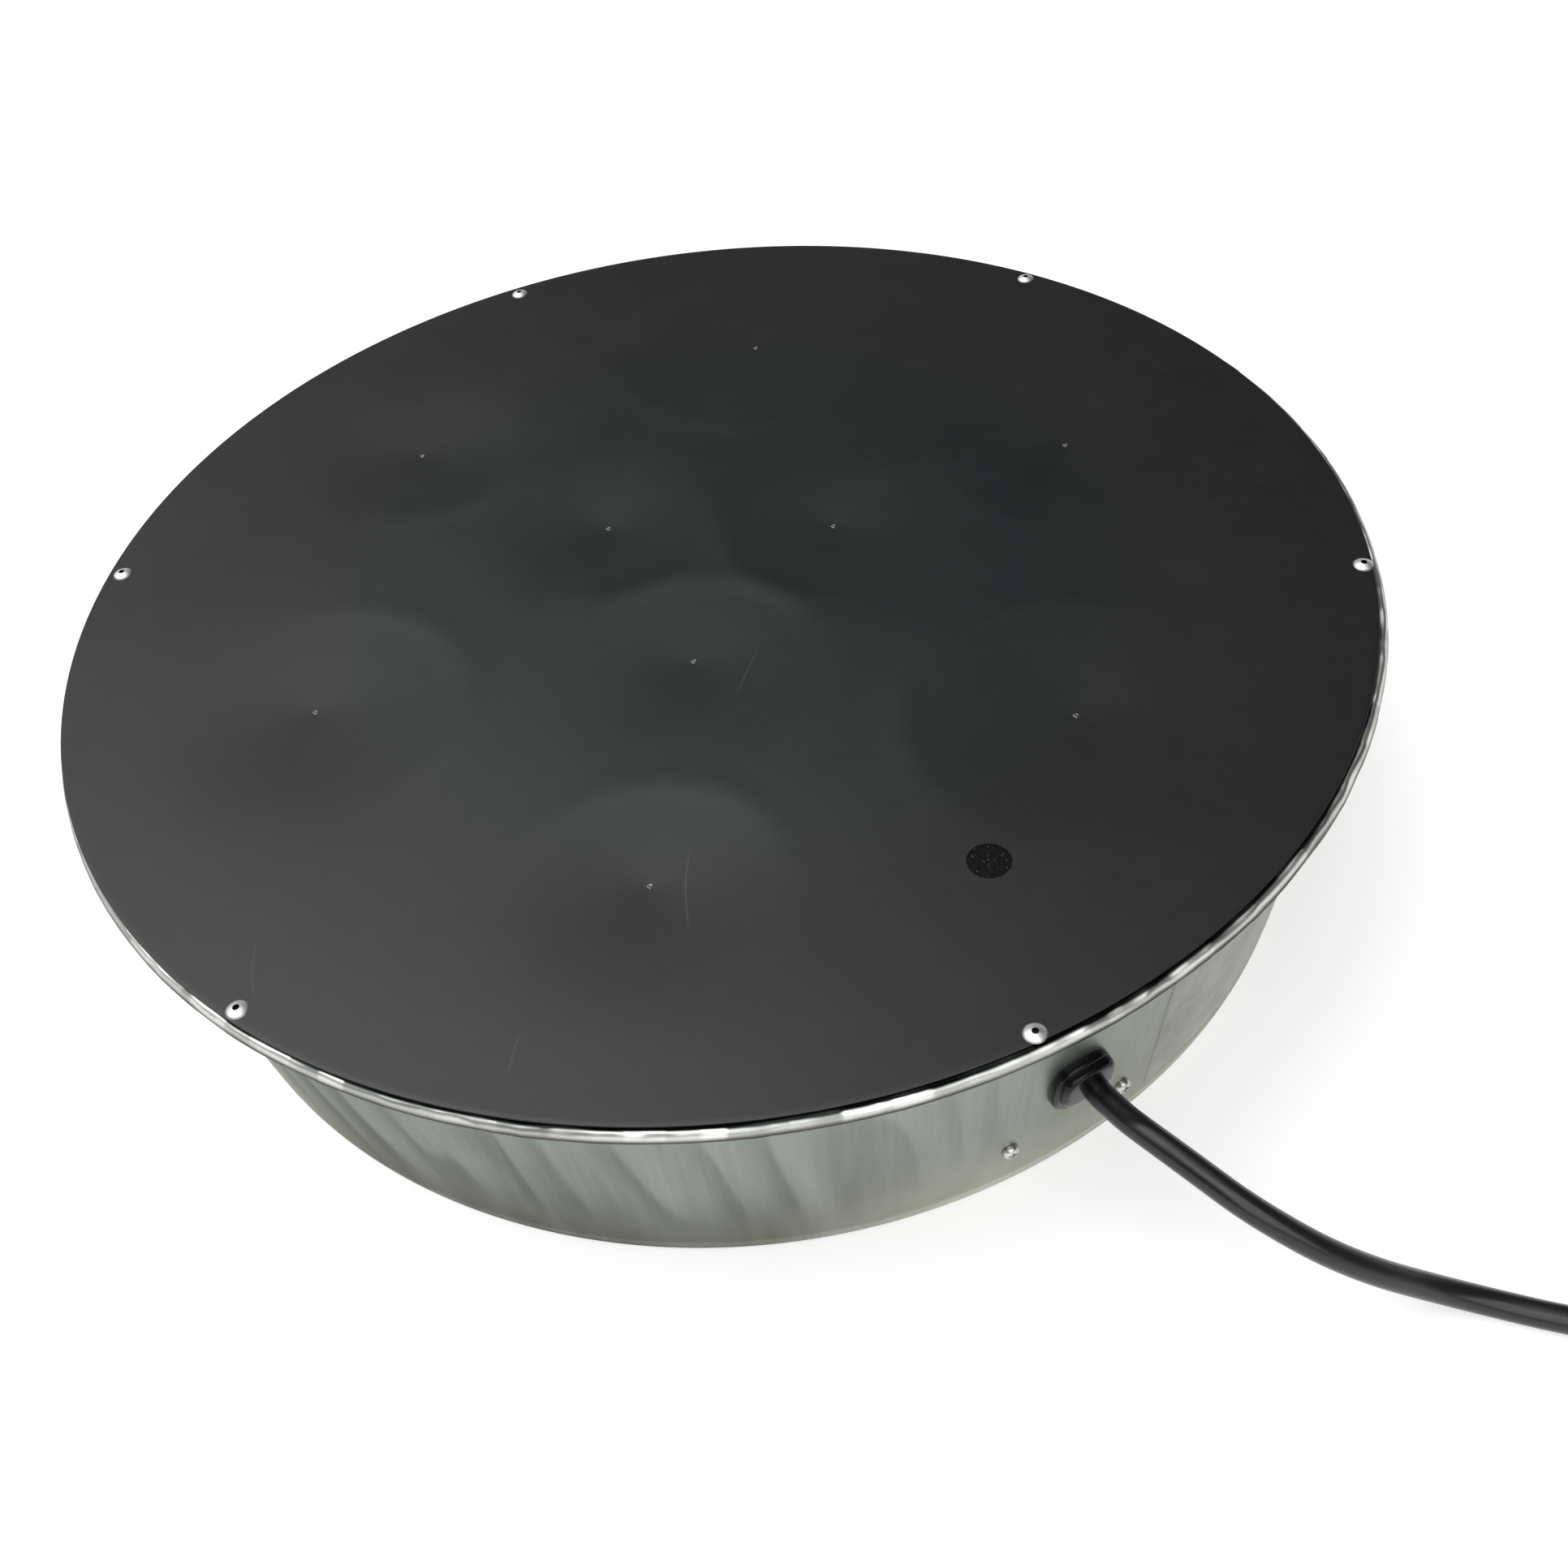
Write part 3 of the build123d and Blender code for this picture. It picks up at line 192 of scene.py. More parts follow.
print("cord control points", len(cord_points))

# %% [markdown]
# ## Meshes from grids
# The other new pieces are grids of points: a profile carried round an axis, or a section carried along a
# path. Blender's Spin or Screw could turn a profile, but here the rings are also pushed about by small dents,
# and numpy can move all of them at once. One helper lists a grid's quads, another makes a smooth mesh of it.

# %% Quads of a grid and a smooth mesh


def turn_steps(count):
    """Evenly spaced turns about an axis, in radians, as one row."""
    return np.linspace(0, FULL_TURN, count, endpoint=False)[None, :]


def grid_quads(rows, columns, closed_rows=False, closed_columns=True):
    """Quads of a grid whose points are numbered row by row. Closed columns join the last point of each row to
    its first, and closed rows join the last row to the first."""
    spot = np.arange(rows * columns).reshape(rows, columns)
    spot = np.pad(spot, ((0, int(closed_rows)), (0, int(closed_columns))), mode="wrap")
    quads = np.stack([spot[:-1, :-1], spot[:-1, 1:], spot[1:, 1:], spot[1:, :-1]], axis=-1)
    return quads.reshape(-1, 4).tolist()


def mesh_piece(name, points, faces, crease=None):
    """Object with a smooth mesh, sharp where two faces meet at more than a crease angle in degrees."""
    mesh = bpy.data.meshes.new(name)
    mesh.from_pydata(np.reshape(points, (-1, 3)).tolist(), [], faces)
    mesh.polygons.foreach_set("use_smooth", np.ones(len(mesh.polygons), bool))
    if crease is not None:
        mesh.set_sharp_from_angle(angle=math.radians(crease))
    mesh.update()
    print(name, len(mesh.vertices), "points", len(mesh.polygons), "faces")
    return add_to_scene(name, mesh)


print("a closed band of 2 rows and 4 columns has", len(grid_quads(2, 4)), "quads")

# %% [markdown]
# ## Strap round the coil
# A thin strap keeps the coil together. A strap pulled tight takes the outline of the bundle's section, so its
# loop is worked out from the turns it holds: in every direction it lies on the turn that reaches farthest.

# %% Strap drawn tight round the turns
tie_turn = math.radians(120)
tie_width = 12.0 * MM
tie_thickness = 1.0 * MM
tie_slack = 0.15 * MM
tie_steps = 120
tie_crease = 40
tie_section = [(0.7, 0.5), (1.0, 0.46), (1.0, -0.46), (0.7, -0.5), (0.0, -0.5), (0.0, 0.5)]


def tie_points():
    """Grid of the strap: its section carried round the bundle. A point is the farthest turn in a direction,
    plus the cord's radius and the slack along that direction, plus its share of the thickness and width."""
    swept = (tie_turn - coil_entry) % FULL_TURN + FULL_TURN * np.arange(coil_full_turns + 1)
    turns = np.stack(coil_section(swept[swept < coil_sweep]), axis=1)
    swing = turn_steps(tie_steps)[0]
    pointing = np.stack([np.cos(swing), np.sin(swing)], axis=1)
    farthest = turns[np.argmax(pointing @ turns.T, axis=1)]
    share, across = np.array(tie_section).T[:, :, None, None]
    outline = farthest + (cord_size / 2 + tie_slack + tie_thickness * share) * pointing
    out = np.array([math.cos(tie_turn), math.sin(tie_turn), 0])
    side = np.array([-out[1], out[0], 0])
    up = np.array([0, 0, 1])
    return coil_centre + outline[..., :1] * out + outline[..., 1:] * up + across * tie_width * side


tie_quads = grid_quads(len(tie_section), tie_steps, closed_rows=True)
cord_strap = mesh_piece("cord_strap", tie_points(), tie_quads, tie_crease)
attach(cord_strap, "base")
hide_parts("coil_tie")
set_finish(cord_strap, "black_nylon")

# %% [markdown]
# ## Pan with a rolled rim
# The real pan is one thin sheet, spun to a taper, with its edge rolled outwards and down into a bead. A lathe
# profile shows that best: a path from the middle of the floor to the tucked end of the bead, and the same
# path offset by the sheet's thickness. Rolling leaves the bead unevenly flattened, and the wall ripples a
# little, so the rings are moved inwards by small amounts, never outwards, and the pan keeps to its width.
# The bead stands a little proud of the plate where the plate leaves it free, and sags between the blows.

# %% Profile of the pan's sheet
sheet = 0.6 * MM
pan_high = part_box("pan")[1]
rim_radius = pan_high.x
rim_top = pan_high.z
rim_depth = 5.0 * MM
rim_reach = 8.5 * MM
rim_bend = 1.0 * MM
rim_tuck = 1.5 * MM
bead_depth = 4.8 * MM
bead_shoulder = 2.6 * MM
bead_tuck_bend = 0.9 * MM
wall_taper = 9.2 * MM
base_corner = 3.0 * MM
base_radius = rim_radius - rim_reach - wall_taper
wall_slope = wall_taper / (rim_top - rim_depth)
flange_underside = rim_top - sheet
roll_floor = rim_top - bead_depth + sheet


def wall_radius(height):
    """Outer radius of the tapered wall at a height."""
    return base_radius + wall_slope * height


def rounded_path(corners, radii, rows, steps):
    """Points along straight runs whose corners are arcs. An arc of radius r leaves its first run at r times
    the tangent of half the turn before the corner. rows and steps count the points on each run and arc."""
    corners = np.array(corners, float)
    parts = []
    here = corners[0]
    bends = zip(corners, corners[1:], corners[2:], radii, rows, steps)
    for before, corner, after, radius, row, step in bends:
        way_in = (corner - before) / np.linalg.norm(corner - before)
        way_out = (after - corner) / np.linalg.norm(after - corner)
        turn = math.atan2(way_in[0] * way_out[1] - way_in[1] * way_out[0], way_in @ way_out)
        start = corner - way_in * radius * math.tan(abs(turn) / 2)
        centre = start + np.array([-way_in[1], way_in[0]]) * math.copysign(radius, turn)
        swing = np.linspace(0, turn, step)[:, None]
        arm = start - centre
        arc = centre + arm * np.cos(swing) + np.array([-arm[1], arm[0]]) * np.sin(swing)
        parts += [np.linspace(here, start, row + 1)[:-1], arc]
        here = arc[-1]
    parts.append(np.linspace(here, corners[-1], rows[-1] + 1)[1:])
    return np.vstack(parts)


pan_corners = [
    (0, 0),
    (base_radius, 0),
    (wall_radius(flange_underside), flange_underside),
    (rim_radius - sheet, flange_underside),
    (rim_radius - sheet, roll_floor),
    (wall_radius(roll_floor) + rim_tuck, roll_floor),
]
pan_bends = [base_corner, rim_bend, bead_shoulder, bead_tuck_bend]
pan_skin = rounded_path(pan_corners, pan_bends, rows=[6, 22, 3, 1, 1], steps=[8, 5, 6, 5])
pan_back = rounded_path(pan_corners, pan_bends, rows=[2, 4, 16, 2, 2], steps=[4, 6, 13, 9])
along = np.gradient(pan_back, axis=0)
along /= np.linalg.norm(along, axis=1, keepdims=True)
pan_back = pan_back + sheet * np.stack([-along[:, 1], along[:, 0]], axis=1)
pan_profile = np.vstack([pan_skin[1:], pan_back[:0:-1]])
print("pan profile", len(pan_profile), "points")

# %% Unevenness of the bead and the wall
bead_showing = 1.75 * MM
plate_shift = 1.45 * MM
plate_shift_turn = math.radians(-79)
ripple_spread = np.linspace(0.45, 1.3, 5)


def smooth_step(low, high, value):
    """Rises from 0 at low to 1 at high along a smooth S: 3t squared minus 2t cubed."""
    share = np.clip((value - low) / (high - low), 0, 1)
    return share * share * (3 - 2 * share)


def facets(turns, length, seed):
    """Uneven facets round the rim: straight lines between random depths, 0 to 1, at random turns."""
    draw = np.random.default_rng(seed)
    count = round(FULL_TURN * rim_radius / length)
    knots = np.sort(draw.uniform(0, FULL_TURN, count))
    return np.interp(turns, knots, draw.uniform(0, 1, count), period=FULL_TURN)


def ripples(turns, spacing, seed):
    """Soft waves round the wall, 0 to 1: five sines near one spacing, added up with random phases."""
    draw = np.random.default_rng(seed)
    waves = np.round(FULL_TURN * base_radius / spacing * ripple_spread)
    phases = draw.uniform(0, FULL_TURN, len(waves))
    added = np.sin(waves[:, None, None] * turns + phases[:, None, None]).sum(axis=0)
    return 0.5 + added / 8


def plate_reach(turns):
    """Radius of the plate's edge at a turn. The plate lies a little off centre, so the strip of the bead that
    shows beside it is its mean width plus the shift times the cosine of the turn from the shift."""
    return rim_radius - bead_showing - plate_shift * np.cos(turns - plate_shift_turn)


def in_from_rim(span):
    """Two radii, given by their distances in from the rim."""
    return [rim_radius - distance for distance in span]


print("plate's edge at the front", round(float(plate_reach(-math.pi / 2)) / MM, 2), "mm from the axis")

# %% Pan with its dents and ripples
pan_columns = 720
bead_rise = 0.95 * MM
bead_dent = 0.5 * MM
bead_sag = 0.65
bead_span = (5.0 * MM, 1.6 * MM)
ridge_span = (2.8 * MM, 1.2 * MM)
ridge_wander = 0.7 * MM
free_strip = (0.9 * MM, 2.3 * MM)
wall_foot = (4 * MM, 24 * MM)
wall_head = (66 * MM, 84 * MM)
ripple_depth = 0.3 * MM
ripple_spacing = 17 * MM
ripple_least = 0.35
rippled_side = math.radians(-130)
streak_lean = 0.9


def around(radii, heights, turns):
    """Rings of points for a profile of radii and heights, at the given turns in radians."""
    radii, heights, turns = np.broadcast_arrays(radii, heights, turns)
    return np.stack([radii * np.cos(turns), radii * np.sin(turns), heights], axis=-1)


def ring_piece(name, rings, first_pole, last_pole, crease=None):
    """Closed piece from rings of points (rows, columns, 3), each row a ring that runs anticlockwise seen from
    above. Quads join each ring to the next, and a fan of triangles joins the end rings to the two poles."""
    rows, columns = rings.shape[:2]
    first_ring = np.arange(columns)
    last_ring = first_ring + (rows - 1) * columns
    pole = np.full(columns, rows * columns)
    first_fan = np.stack([pole, np.roll(first_ring, -1), first_ring], axis=-1)
    last_fan = np.stack([pole + 1, last_ring, np.roll(last_ring, -1)], axis=-1)
    faces = grid_quads(rows, columns) + first_fan.tolist() + last_fan.tolist()
    return mesh_piece(name, np.vstack([rings.reshape(-1, 3), first_pole, last_pole]), faces, crease)


turns = turn_steps(pan_columns)
radii = pan_profile[:, :1]
heights = pan_profile[:, 1:]
on_bead = smooth_step(*in_from_rim(bead_span), radii)
on_wall = smooth_step(*wall_foot, heights) * (1 - smooth_step(*wall_head, heights))
dents = 0.6 * facets(turns, length=15 * MM, seed=3) + 0.4 * facets(turns, length=7 * MM, seed=4)
sags = 0.5 * facets(turns, length=20 * MM, seed=5) + 0.5 * facets(turns, length=8 * MM, seed=6)
waves = ripples(turns + streak_lean * heights, ripple_spacing, seed=7)
rippled = ripple_least + (1 - ripple_least) * smooth_step(0.4, 0.95, np.cos(turns - rippled_side))
ridge = smooth_step(*in_from_rim(ridge_span), radii + ridge_wander * (dents - 0.5))
free = smooth_step(*free_strip, rim_radius - plate_reach(turns))
pan_radii = radii - bead_dent * on_bead * dents - ripple_depth * rippled * on_wall * waves
pan_heights = heights + bead_rise * free * (1 - bead_sag * sags) * ridge
pan_shell = ring_piece("pan_shell", around(pan_radii, pan_heights, turns), (0, 0, 0), (0, 0, sheet))
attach(pan_shell, "base")
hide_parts("pan")
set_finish(pan_shell, "galvanised")

# %% [markdown]
# ## Black plate
# The plate is thin steel with nine pins spot-welded under it. Each weld has pulled the sheet down into a
# shallow dish, and between the dishes the sheet stands a little crowned, so the light breaks into arcs on it.
# A bump map alone would be flat at the edge of a view, so the dishes are real: a polar grid whose height is a
# low crown minus nine soft cones. The same relief is kept as an attribute, which the finish uses to sharpen
# it. The plate lies a little off centre on the rim, and a Boolean modifier, then applied, cuts its plug hole.

# %% Height of the plate's top
plate_low, plate_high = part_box("heater_plate")
plate_radius = plate_high.x
plate_bottom = plate_low.z
plate_top = plate_high.z
plate_margin = 10.5 * MM
margin_drop = 0.1 * MM
crown_rise = 0.7 * MM
crown_reach = 150 * MM
dish_depth = 0.75 * MM
dish_tip = 2.0 * MM
dish_soft = 7.0 * MM
dish_reaches = np.array([44, 50, 38, 47, 38, 50, 36, 36, 40]) * MM
lip_rise = 0.1 * MM
lip_width = 6.5 * MM
outer_weld_radius = 132.5 * MM
inner_weld_radius = 44 * MM
weld_turn = math.radians(-6.5)


def weld_circle(radius, count):
    """Spots of evenly spaced welds on a circle, from the first one's turn on."""
    turn = weld_turn + turn_steps(count)[0]
    return radius * np.stack([np.cos(turn), np.sin(turn)], axis=1)


weld_spots = np.vstack([weld_circle(outer_weld_radius, 6), weld_circle(inner_weld_radius, 3)])


def plate_quilt(x, y):
    """Relief of the plate's top: a low crown, minus a soft cone at each weld, plus a lip on the side of each
    cone that faces the plate's middle. The crown is the square of one minus the squared share of its reach.
    A cone is the softened excess of the dish's reach over the distance from its weld. A lip is a bell curve
    of the distance from the dish's edge."""
    crown = crown_rise * np.clip(1 - (np.hypot(x, y) / crown_reach) ** 2, 0, 1) ** 2
    off_x = x[..., None] - weld_spots[:, 0]
    off_y = y[..., None] - weld_spots[:, 1]
    apart = np.sqrt(off_x**2 + off_y**2 + dish_tip**2)
    cones = dish_soft * np.logaddexp(0, (dish_reaches - apart) / dish_soft) / dish_reaches
    inward = -(off_x * weld_spots[:, 0] + off_y * weld_spots[:, 1]) / (apart * np.hypot(*weld_spots.T))
    lips = smooth_step(-0.1, 1, inward) * np.exp(-(((apart - dish_reaches) / lip_width) ** 2))
    return crown + (lip_rise * lips - dish_depth * cones).sum(axis=-1)


def plate_height(x, y):
    """Height of the plate's top: the flat level, plus its relief, minus the drop of its margin."""
    margin = smooth_step(plate_radius - 3 * plate_margin, plate_radius - 0.6 * plate_margin, np.hypot(x, y))
    return plate_top + plate_quilt(x, y) - margin_drop * margin


plate_middle = (0, 0, plate_height(np.zeros(1), np.zeros(1))[0])
print("middle of the plate", round((plate_middle[2] - plate_top) / MM, 2), "mm over its flat level")

# %% Plate mesh
plate_columns = 450
plate_rows = 140
plate_edge = 0.3 * MM
edge_top = plate_top - margin_drop
edge_swing = np.linspace(0, math.pi / 2, 5)[:, None]
plate_turns = turn_steps(plate_columns)
plate_border = plate_reach(plate_turns)
edge_start = plate_border - plate_edge
under = around(np.linspace(0.1, 0.99, 6)[:, None] * plate_border, plate_bottom, plate_turns)
lower_edge = around(
    edge_start + plate_edge * np.sin(edge_swing),
    plate_bottom + plate_edge - plate_edge * np.cos(edge_swing),
    plate_turns,
)
upper_edge = around(
    edge_start + plate_edge * np.cos(edge_swing[:-1]),
    edge_top - plate_edge + plate_edge * np.sin(edge_swing[:-1]),
    plate_turns,
)
flat = around(edge_start * np.linspace(1, 0, plate_rows + 1)[:-1, None], plate_top, plate_turns)
flat[..., 2] = plate_height(flat[..., 0], flat[..., 1])
plate_rings = np.vstack([under, lower_edge, upper_edge, flat])
plate_sheet = ring_piece("plate_sheet", plate_rings, (0, 0, plate_bottom), plate_middle)

# %% Plug hole and the relief as an attribute
hole_sides = 96
hole_margin = 2 * MM
plate_crease = 50
plug_low, plug_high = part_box("sensor_plug")
plug_spot = (plug_low + plug_high) / 2
plug_radius = (plug_high.x - plug_low.x) / 2
hole_levels = (plate_bottom - hole_margin, plate_top + hole_margin)
hole_poles = np.array([(plug_spot.x, plug_spot.y, level) for level in hole_levels])


def apply_modifiers(piece):
    """Makes what a piece's modifiers give its own mesh."""
    bpy.context.view_layer.update()
    finished = piece.evaluated_get(bpy.context.evaluated_depsgraph_get())
    mesh = bpy.data.meshes.new_from_object(finished)
    piece.modifiers.clear()
    piece.data = mesh
    return mesh


hole_rings = hole_poles[:, None] + around(plug_radius, 0.0, turn_steps(hole_sides))
cutter = ring_piece("plug_hole", hole_rings, *hole_poles)
cut = plate_sheet.modifiers.new("plug_hole", "BOOLEAN")
cut.operation = "DIFFERENCE"
cut.object = cutter
holed = apply_modifiers(plate_sheet)
holed.set_sharp_from_angle(angle=math.radians(plate_crease))
bpy.data.objects.remove(cutter)
spots = np.empty(3 * len(holed.vertices))
holed.vertices.foreach_get("co", spots)
quilt = holed.attributes.new("quilt", "FLOAT", "POINT")
quilt.data.foreach_set("value", plate_quilt(spots[0::3], spots[1::3]))
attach(plate_sheet, "base")
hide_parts("heater_plate")
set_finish(plate_sheet, "black_coat")
print("plate after the cut", len(holed.polygons), "faces")

# %% [markdown]
# ## Weld marks
# Where a pin was welded under the plate, the heat has left a bead of bare metal on top, about two
# millimetres across, with a crater in its middle. One small lathe profile with a wobbly outline, placed at
# each weld, is enough. Its foot stands just under the plate's skin, so no gap shows.

# %% Nine craters of bare metal
mark_radius = 0.95 * MM
mark_rise = 0.2 * MM
mark_sink = 0.05 * MM
mark_heart = 0.02 * MM
crater_share = 0.75
mark_shares = np.linspace(1, 0.12, 9)[:, None]
mark_turns = turn_steps(20)
mark_profile = mark_rise * np.sin(math.pi * np.clip((1 - mark_shares) / crater_share, 0, 1)) ** 0.8
mark_wobble = 1 + 0.12 * np.sin(3 * mark_turns + 1) + 0.08 * np.sin(5 * mark_turns)
one_mark = around(mark_radius * mark_shares * mark_wobble, mark_profile, mark_turns)


def join_pieces(name, pieces):
    """One piece out of several: their meshes joined into the first, which takes the name."""
    first = pieces[0]
    first.name = name
    with bpy.context.temp_override(active_object=first, selected_editable_objects=pieces):
        bpy.ops.object.join()
    print(name, len(first.data.polygons), "faces")
    return first


mark_places = np.column_stack([weld_spots, plate_height(*weld_spots.T) - mark_sink])
marks = [
    ring_piece("weld_mark_%d" % number, one_mark + place, place, place + (0, 0, mark_heart))
    for number, place in enumerate(mark_places)
]
weld_marks = join_pieces("weld_marks", marks)
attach(weld_marks, "base")
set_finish(weld_marks, "zinc")

# %% [markdown]
# ## Strain relief
# The cord is clamped by a moulded bushing that snaps into the wall: an oblong flange, a thick bar above the
# cord and a short collar round it, all softly rounded. Beveled cubes would look boxy, so each is a boss: an
# outline between an ellipse and a rectangle, carried outwards from the wall and drawn in at its front edge.

# %% Bosses of the strain relief
grip_height = 45.0 * MM
wall_tilt = math.atan(wall_slope)
wall_out = (0, -math.cos(wall_tilt), -math.sin(wall_tilt))
wall_up = (0, -math.sin(wall_tilt), math.cos(wall_tilt))
grip_axes = np.array([(1, 0, 0), wall_up, wall_out])
grip_foot = np.array([0, -wall_radius(grip_height), grip_height])
boss_sides = 72
boss_heart = 0.6
grip_bosses = {
    "flange": dict(middle=(-3.1, 2.4), half=(9.3, 10.8), squareness=2.8, foot=-2.0, face=2.6, edge=1.2),
    "bar": dict(middle=(-3.0, 5.0), half=(8.5, 7.4), squareness=3.2, foot=0.0, face=5.0, edge=1.5),
    "collar": dict(middle=(0.0, -0.5), half=(4.3, 4.3), squareness=2.0, foot=0.0, face=5.0, edge=0.7),
}


def on_grip(across, rise, out):
    """Points by millimetres along the wall, up the wall and out of it, from the strain relief's foot."""
    return grip_foot + MM * np.stack(np.broadcast_arrays(across, rise, out), axis=-1) @ grip_axes


def boss(name, middle, half, squareness, foot, face, edge):
    """A boss on the wall. Its outline is a superellipse: half sizes times the cosine and sine of a turn, each
    raised to 2 over the squareness. It runs from foot to face, and the front edge is a quarter arc."""
    turn = turn_steps(boss_sides)
    swing = np.linspace(0, math.pi / 2, 7)[:, None]
    inset = np.vstack([[[0.0]], [[0.0]], edge * (1 - np.cos(swing)), [[boss_heart * min(half)]]])
    out = np.vstack([[[foot]], [[face - 1.5 * edge]], face - edge + edge * np.sin(swing), [[face]]])
    cosine, sine = np.cos(turn), np.sin(turn)
    across = (half[0] - inset) * np.sign(cosine) * np.abs(cosine) ** (2 / squareness) + middle[0]
    rise = (half[1] - inset) * np.sign(sine) * np.abs(sine) ** (2 / squareness) + middle[1]
    return ring_piece(name, on_grip(across, rise, out), on_grip(*middle, foot), on_grip(*middle, face))


bosses = [boss("grip_" + name, **sizes) for name, sizes in grip_bosses.items()]
strain_relief = join_pieces("strain_relief", bosses)
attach(strain_relief, "base")
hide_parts("cord_grip", "grip_wedge")
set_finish(strain_relief, "black_nylon")

# %% [markdown]
# ## Label
# A blank foil label is stuck on the wall beside the cord. It is a patch of the wall's own cone, raised by the
# film's thickness, whose border dips into the sheet so that no dark gap shows under it. A Solidify modifier,
# which is applied, gives it a back.

# %% Foil label on the wall
label_low, label_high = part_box("foil_label")
label_start = math.atan2(label_low.y, label_low.x)
label_end = math.atan2(label_high.y, label_high.x)
film = 0.12 * MM
border_sink = 0.4 * MM
border_share = 0.002


def label_shares(count):
    """Even shares from 0 to 1, with one more close to each end for the border."""
    return np.concatenate([[0, border_share], np.linspace(0, 1, count)[1:-1], [1 - border_share, 1]])


def label_points():
    """Grid of the label: turn and height by two shares, at the wall's radius plus the film. The outermost row
    and column on each side are sunk under the wall's skin."""
    turn = label_start + (label_end - label_start) * label_shares(64)[None, :]
    height = label_low.z + (label_high.z - label_low.z) * label_shares(16)[:, None]
    sunk = np.ones((height.size, turn.size))
    sunk[1:-1, 1:-1] = 0
    return around(wall_radius(height) + film - (film + border_sink) * sunk, height, turn)


label_grid = label_points()
label_quads = grid_quads(*label_grid.shape[:2], closed_columns=False)
label_film = mesh_piece("label_film", label_grid, label_quads)
backed = label_film.modifiers.new("backing", "SOLIDIFY")
backed.thickness = film
backed.offset = -1.0
apply_modifiers(label_film)
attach(label_film, "base")
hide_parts("foil_label")
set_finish(label_film, "label_film")
print("label turns", round(math.degrees(label_start), 1), "to", round(math.degrees(label_end), 1))

# %% [markdown]
# ## Snap disc
# The thermostat's bimetal disc holds its rim still and lets its middle jump when it is hot enough, and the
# pin under it follows. A rigid disc would be run through by the pin. Here the disc is made as one thin
# dome, turned from a profile whose rise grows with the square of its radius.

# %% Disc as a thin dome
disc_low, disc_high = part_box("bimetal_disc")
disc_middle = (disc_low + disc_high) / 2
disc_sheet = 0.25 * MM
disc_crease = 50
disc_dome = disc_high.z - disc_low.z - disc_sheet
disc_shares = np.linspace(0.08, 1, 16)[:, None]


def on_disc_axis(height):
    """Point of the disc's axis at a height."""
    return (disc_middle.x, disc_middle.y, height)


disc_radii = (disc_high.x - disc_middle.x) * disc_shares
disc_heights = disc_low.z + disc_dome * disc_shares**2
disc_under = on_disc_axis(0) + around(disc_radii, disc_heights, turn_steps(64))
disc_rings = np.vstack([disc_under, disc_under[::-1] + (0, 0, disc_sheet)])
disc_poles = [on_disc_axis(disc_low.z), on_disc_axis(disc_low.z + disc_sheet)]
snap_disc = ring_piece("snap_disc", disc_rings, *disc_poles, disc_crease)
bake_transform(snap_disc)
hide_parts("bimetal_disc")
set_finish(snap_disc, "spring_brass")

# %% [markdown]
# ## Node helpers
# Every finish is a small node tree. A few helpers keep the trees short: they place a node and fill or link
# its sockets, do arithmetic on values and vectors, and fade from one value to another. A socket knows its
# tree, so a node goes into the tree of the sockets it is given.

# %% Placing nodes, arithmetic and masks


def new_node(tree, kind, **settings):
    """A node of a kind, with its settings set."""
    made = tree.nodes.new("ShaderNode" + kind)
    for name, value in settings.items():
        setattr(made, name, value)
    return made


def fill(node, inputs):
    """Fills a node's inputs by name or number: a socket is linked, and a value or a colour is set."""
    for name, value in inputs.items():
        socket = node.inputs[name]
        if isinstance(value, bpy.types.NodeSocket):
            node.id_data.links.new(value, socket)
        else:
            socket.default_value = (*value, 1.0) if socket.type == "RGBA" else value


def place(kind, inputs, **settings):
    """A node with its inputs filled, in the tree of the sockets among them."""
    tree = next(value.id_data for value in inputs.values() if isinstance(value, bpy.types.NodeSocket))
    made = new_node(tree, kind, **settings)
    fill(made, inputs)
    return made


def sums(operation, first, second=0.0, third=0.0, clamp=False):
    """Output of one Math node."""
    given = {0: first, 1: second, 2: third}
    return place("Math", given, operation=operation, use_clamp=clamp).outputs[0]


def minus(first, second):
    """The first value less the second."""
    return sums("SUBTRACT", first, second)


def scaled(value, factor, plus=0.0, clamp=False):
    """A value times a factor, plus something."""
    return sums("MULTIPLY_ADD", value, factor, plus, clamp)


def times(*factors):
    """Product of several values."""
    product = factors[0]
    for factor in factors[1:]:
        product = sums("MULTIPLY", product, factor)
    return product


def fade(value, low, high, start=0.0, end=1.0):
    """A smooth change from start to end while value goes from low to high."""
    inputs = {"Value": value, "From Min": low, "From Max": high, "To Min": start, "To Max": end}
    return place("MapRange", inputs, interpolation_type="SMOOTHSTEP").outputs[0]


def vectors(operation, *given):
    """Output of one Vector Math node: a value for a length or a dot product, and otherwise a vector."""
    made = place("VectorMath", dict(enumerate(given)), operation=operation)
    return made.outputs["Value" if operation in ("LENGTH", "DOT_PRODUCT") else "Vector"]


def flattened(where):
    """A point moved straight down to the floor's level."""
    return vectors("MULTIPLY", where, (1.0, 1.0, 0.0))


def turned_about(where, angle):
    """A point turned about the upright axis."""
    return place("VectorRotate", {"Vector": where, "Angle": angle}, rotation_type="Z_AXIS").outputs[0]


def split(where):
    """The X, Y and Z of a point."""
    return place("SeparateXYZ", {"Vector": where}).outputs


def red(colour):
    """The red of a colour."""
    return place("SeparateColor", {"Color": colour}).outputs[0]


def noise(where, scale, detail):
    """Value of a noise texture, 0 to 1."""
    return place("TexNoise", {"Vector": where, "Scale": scale, "Detail": detail}).outputs["Fac"]


print("Blender", bpy.app.version_string)

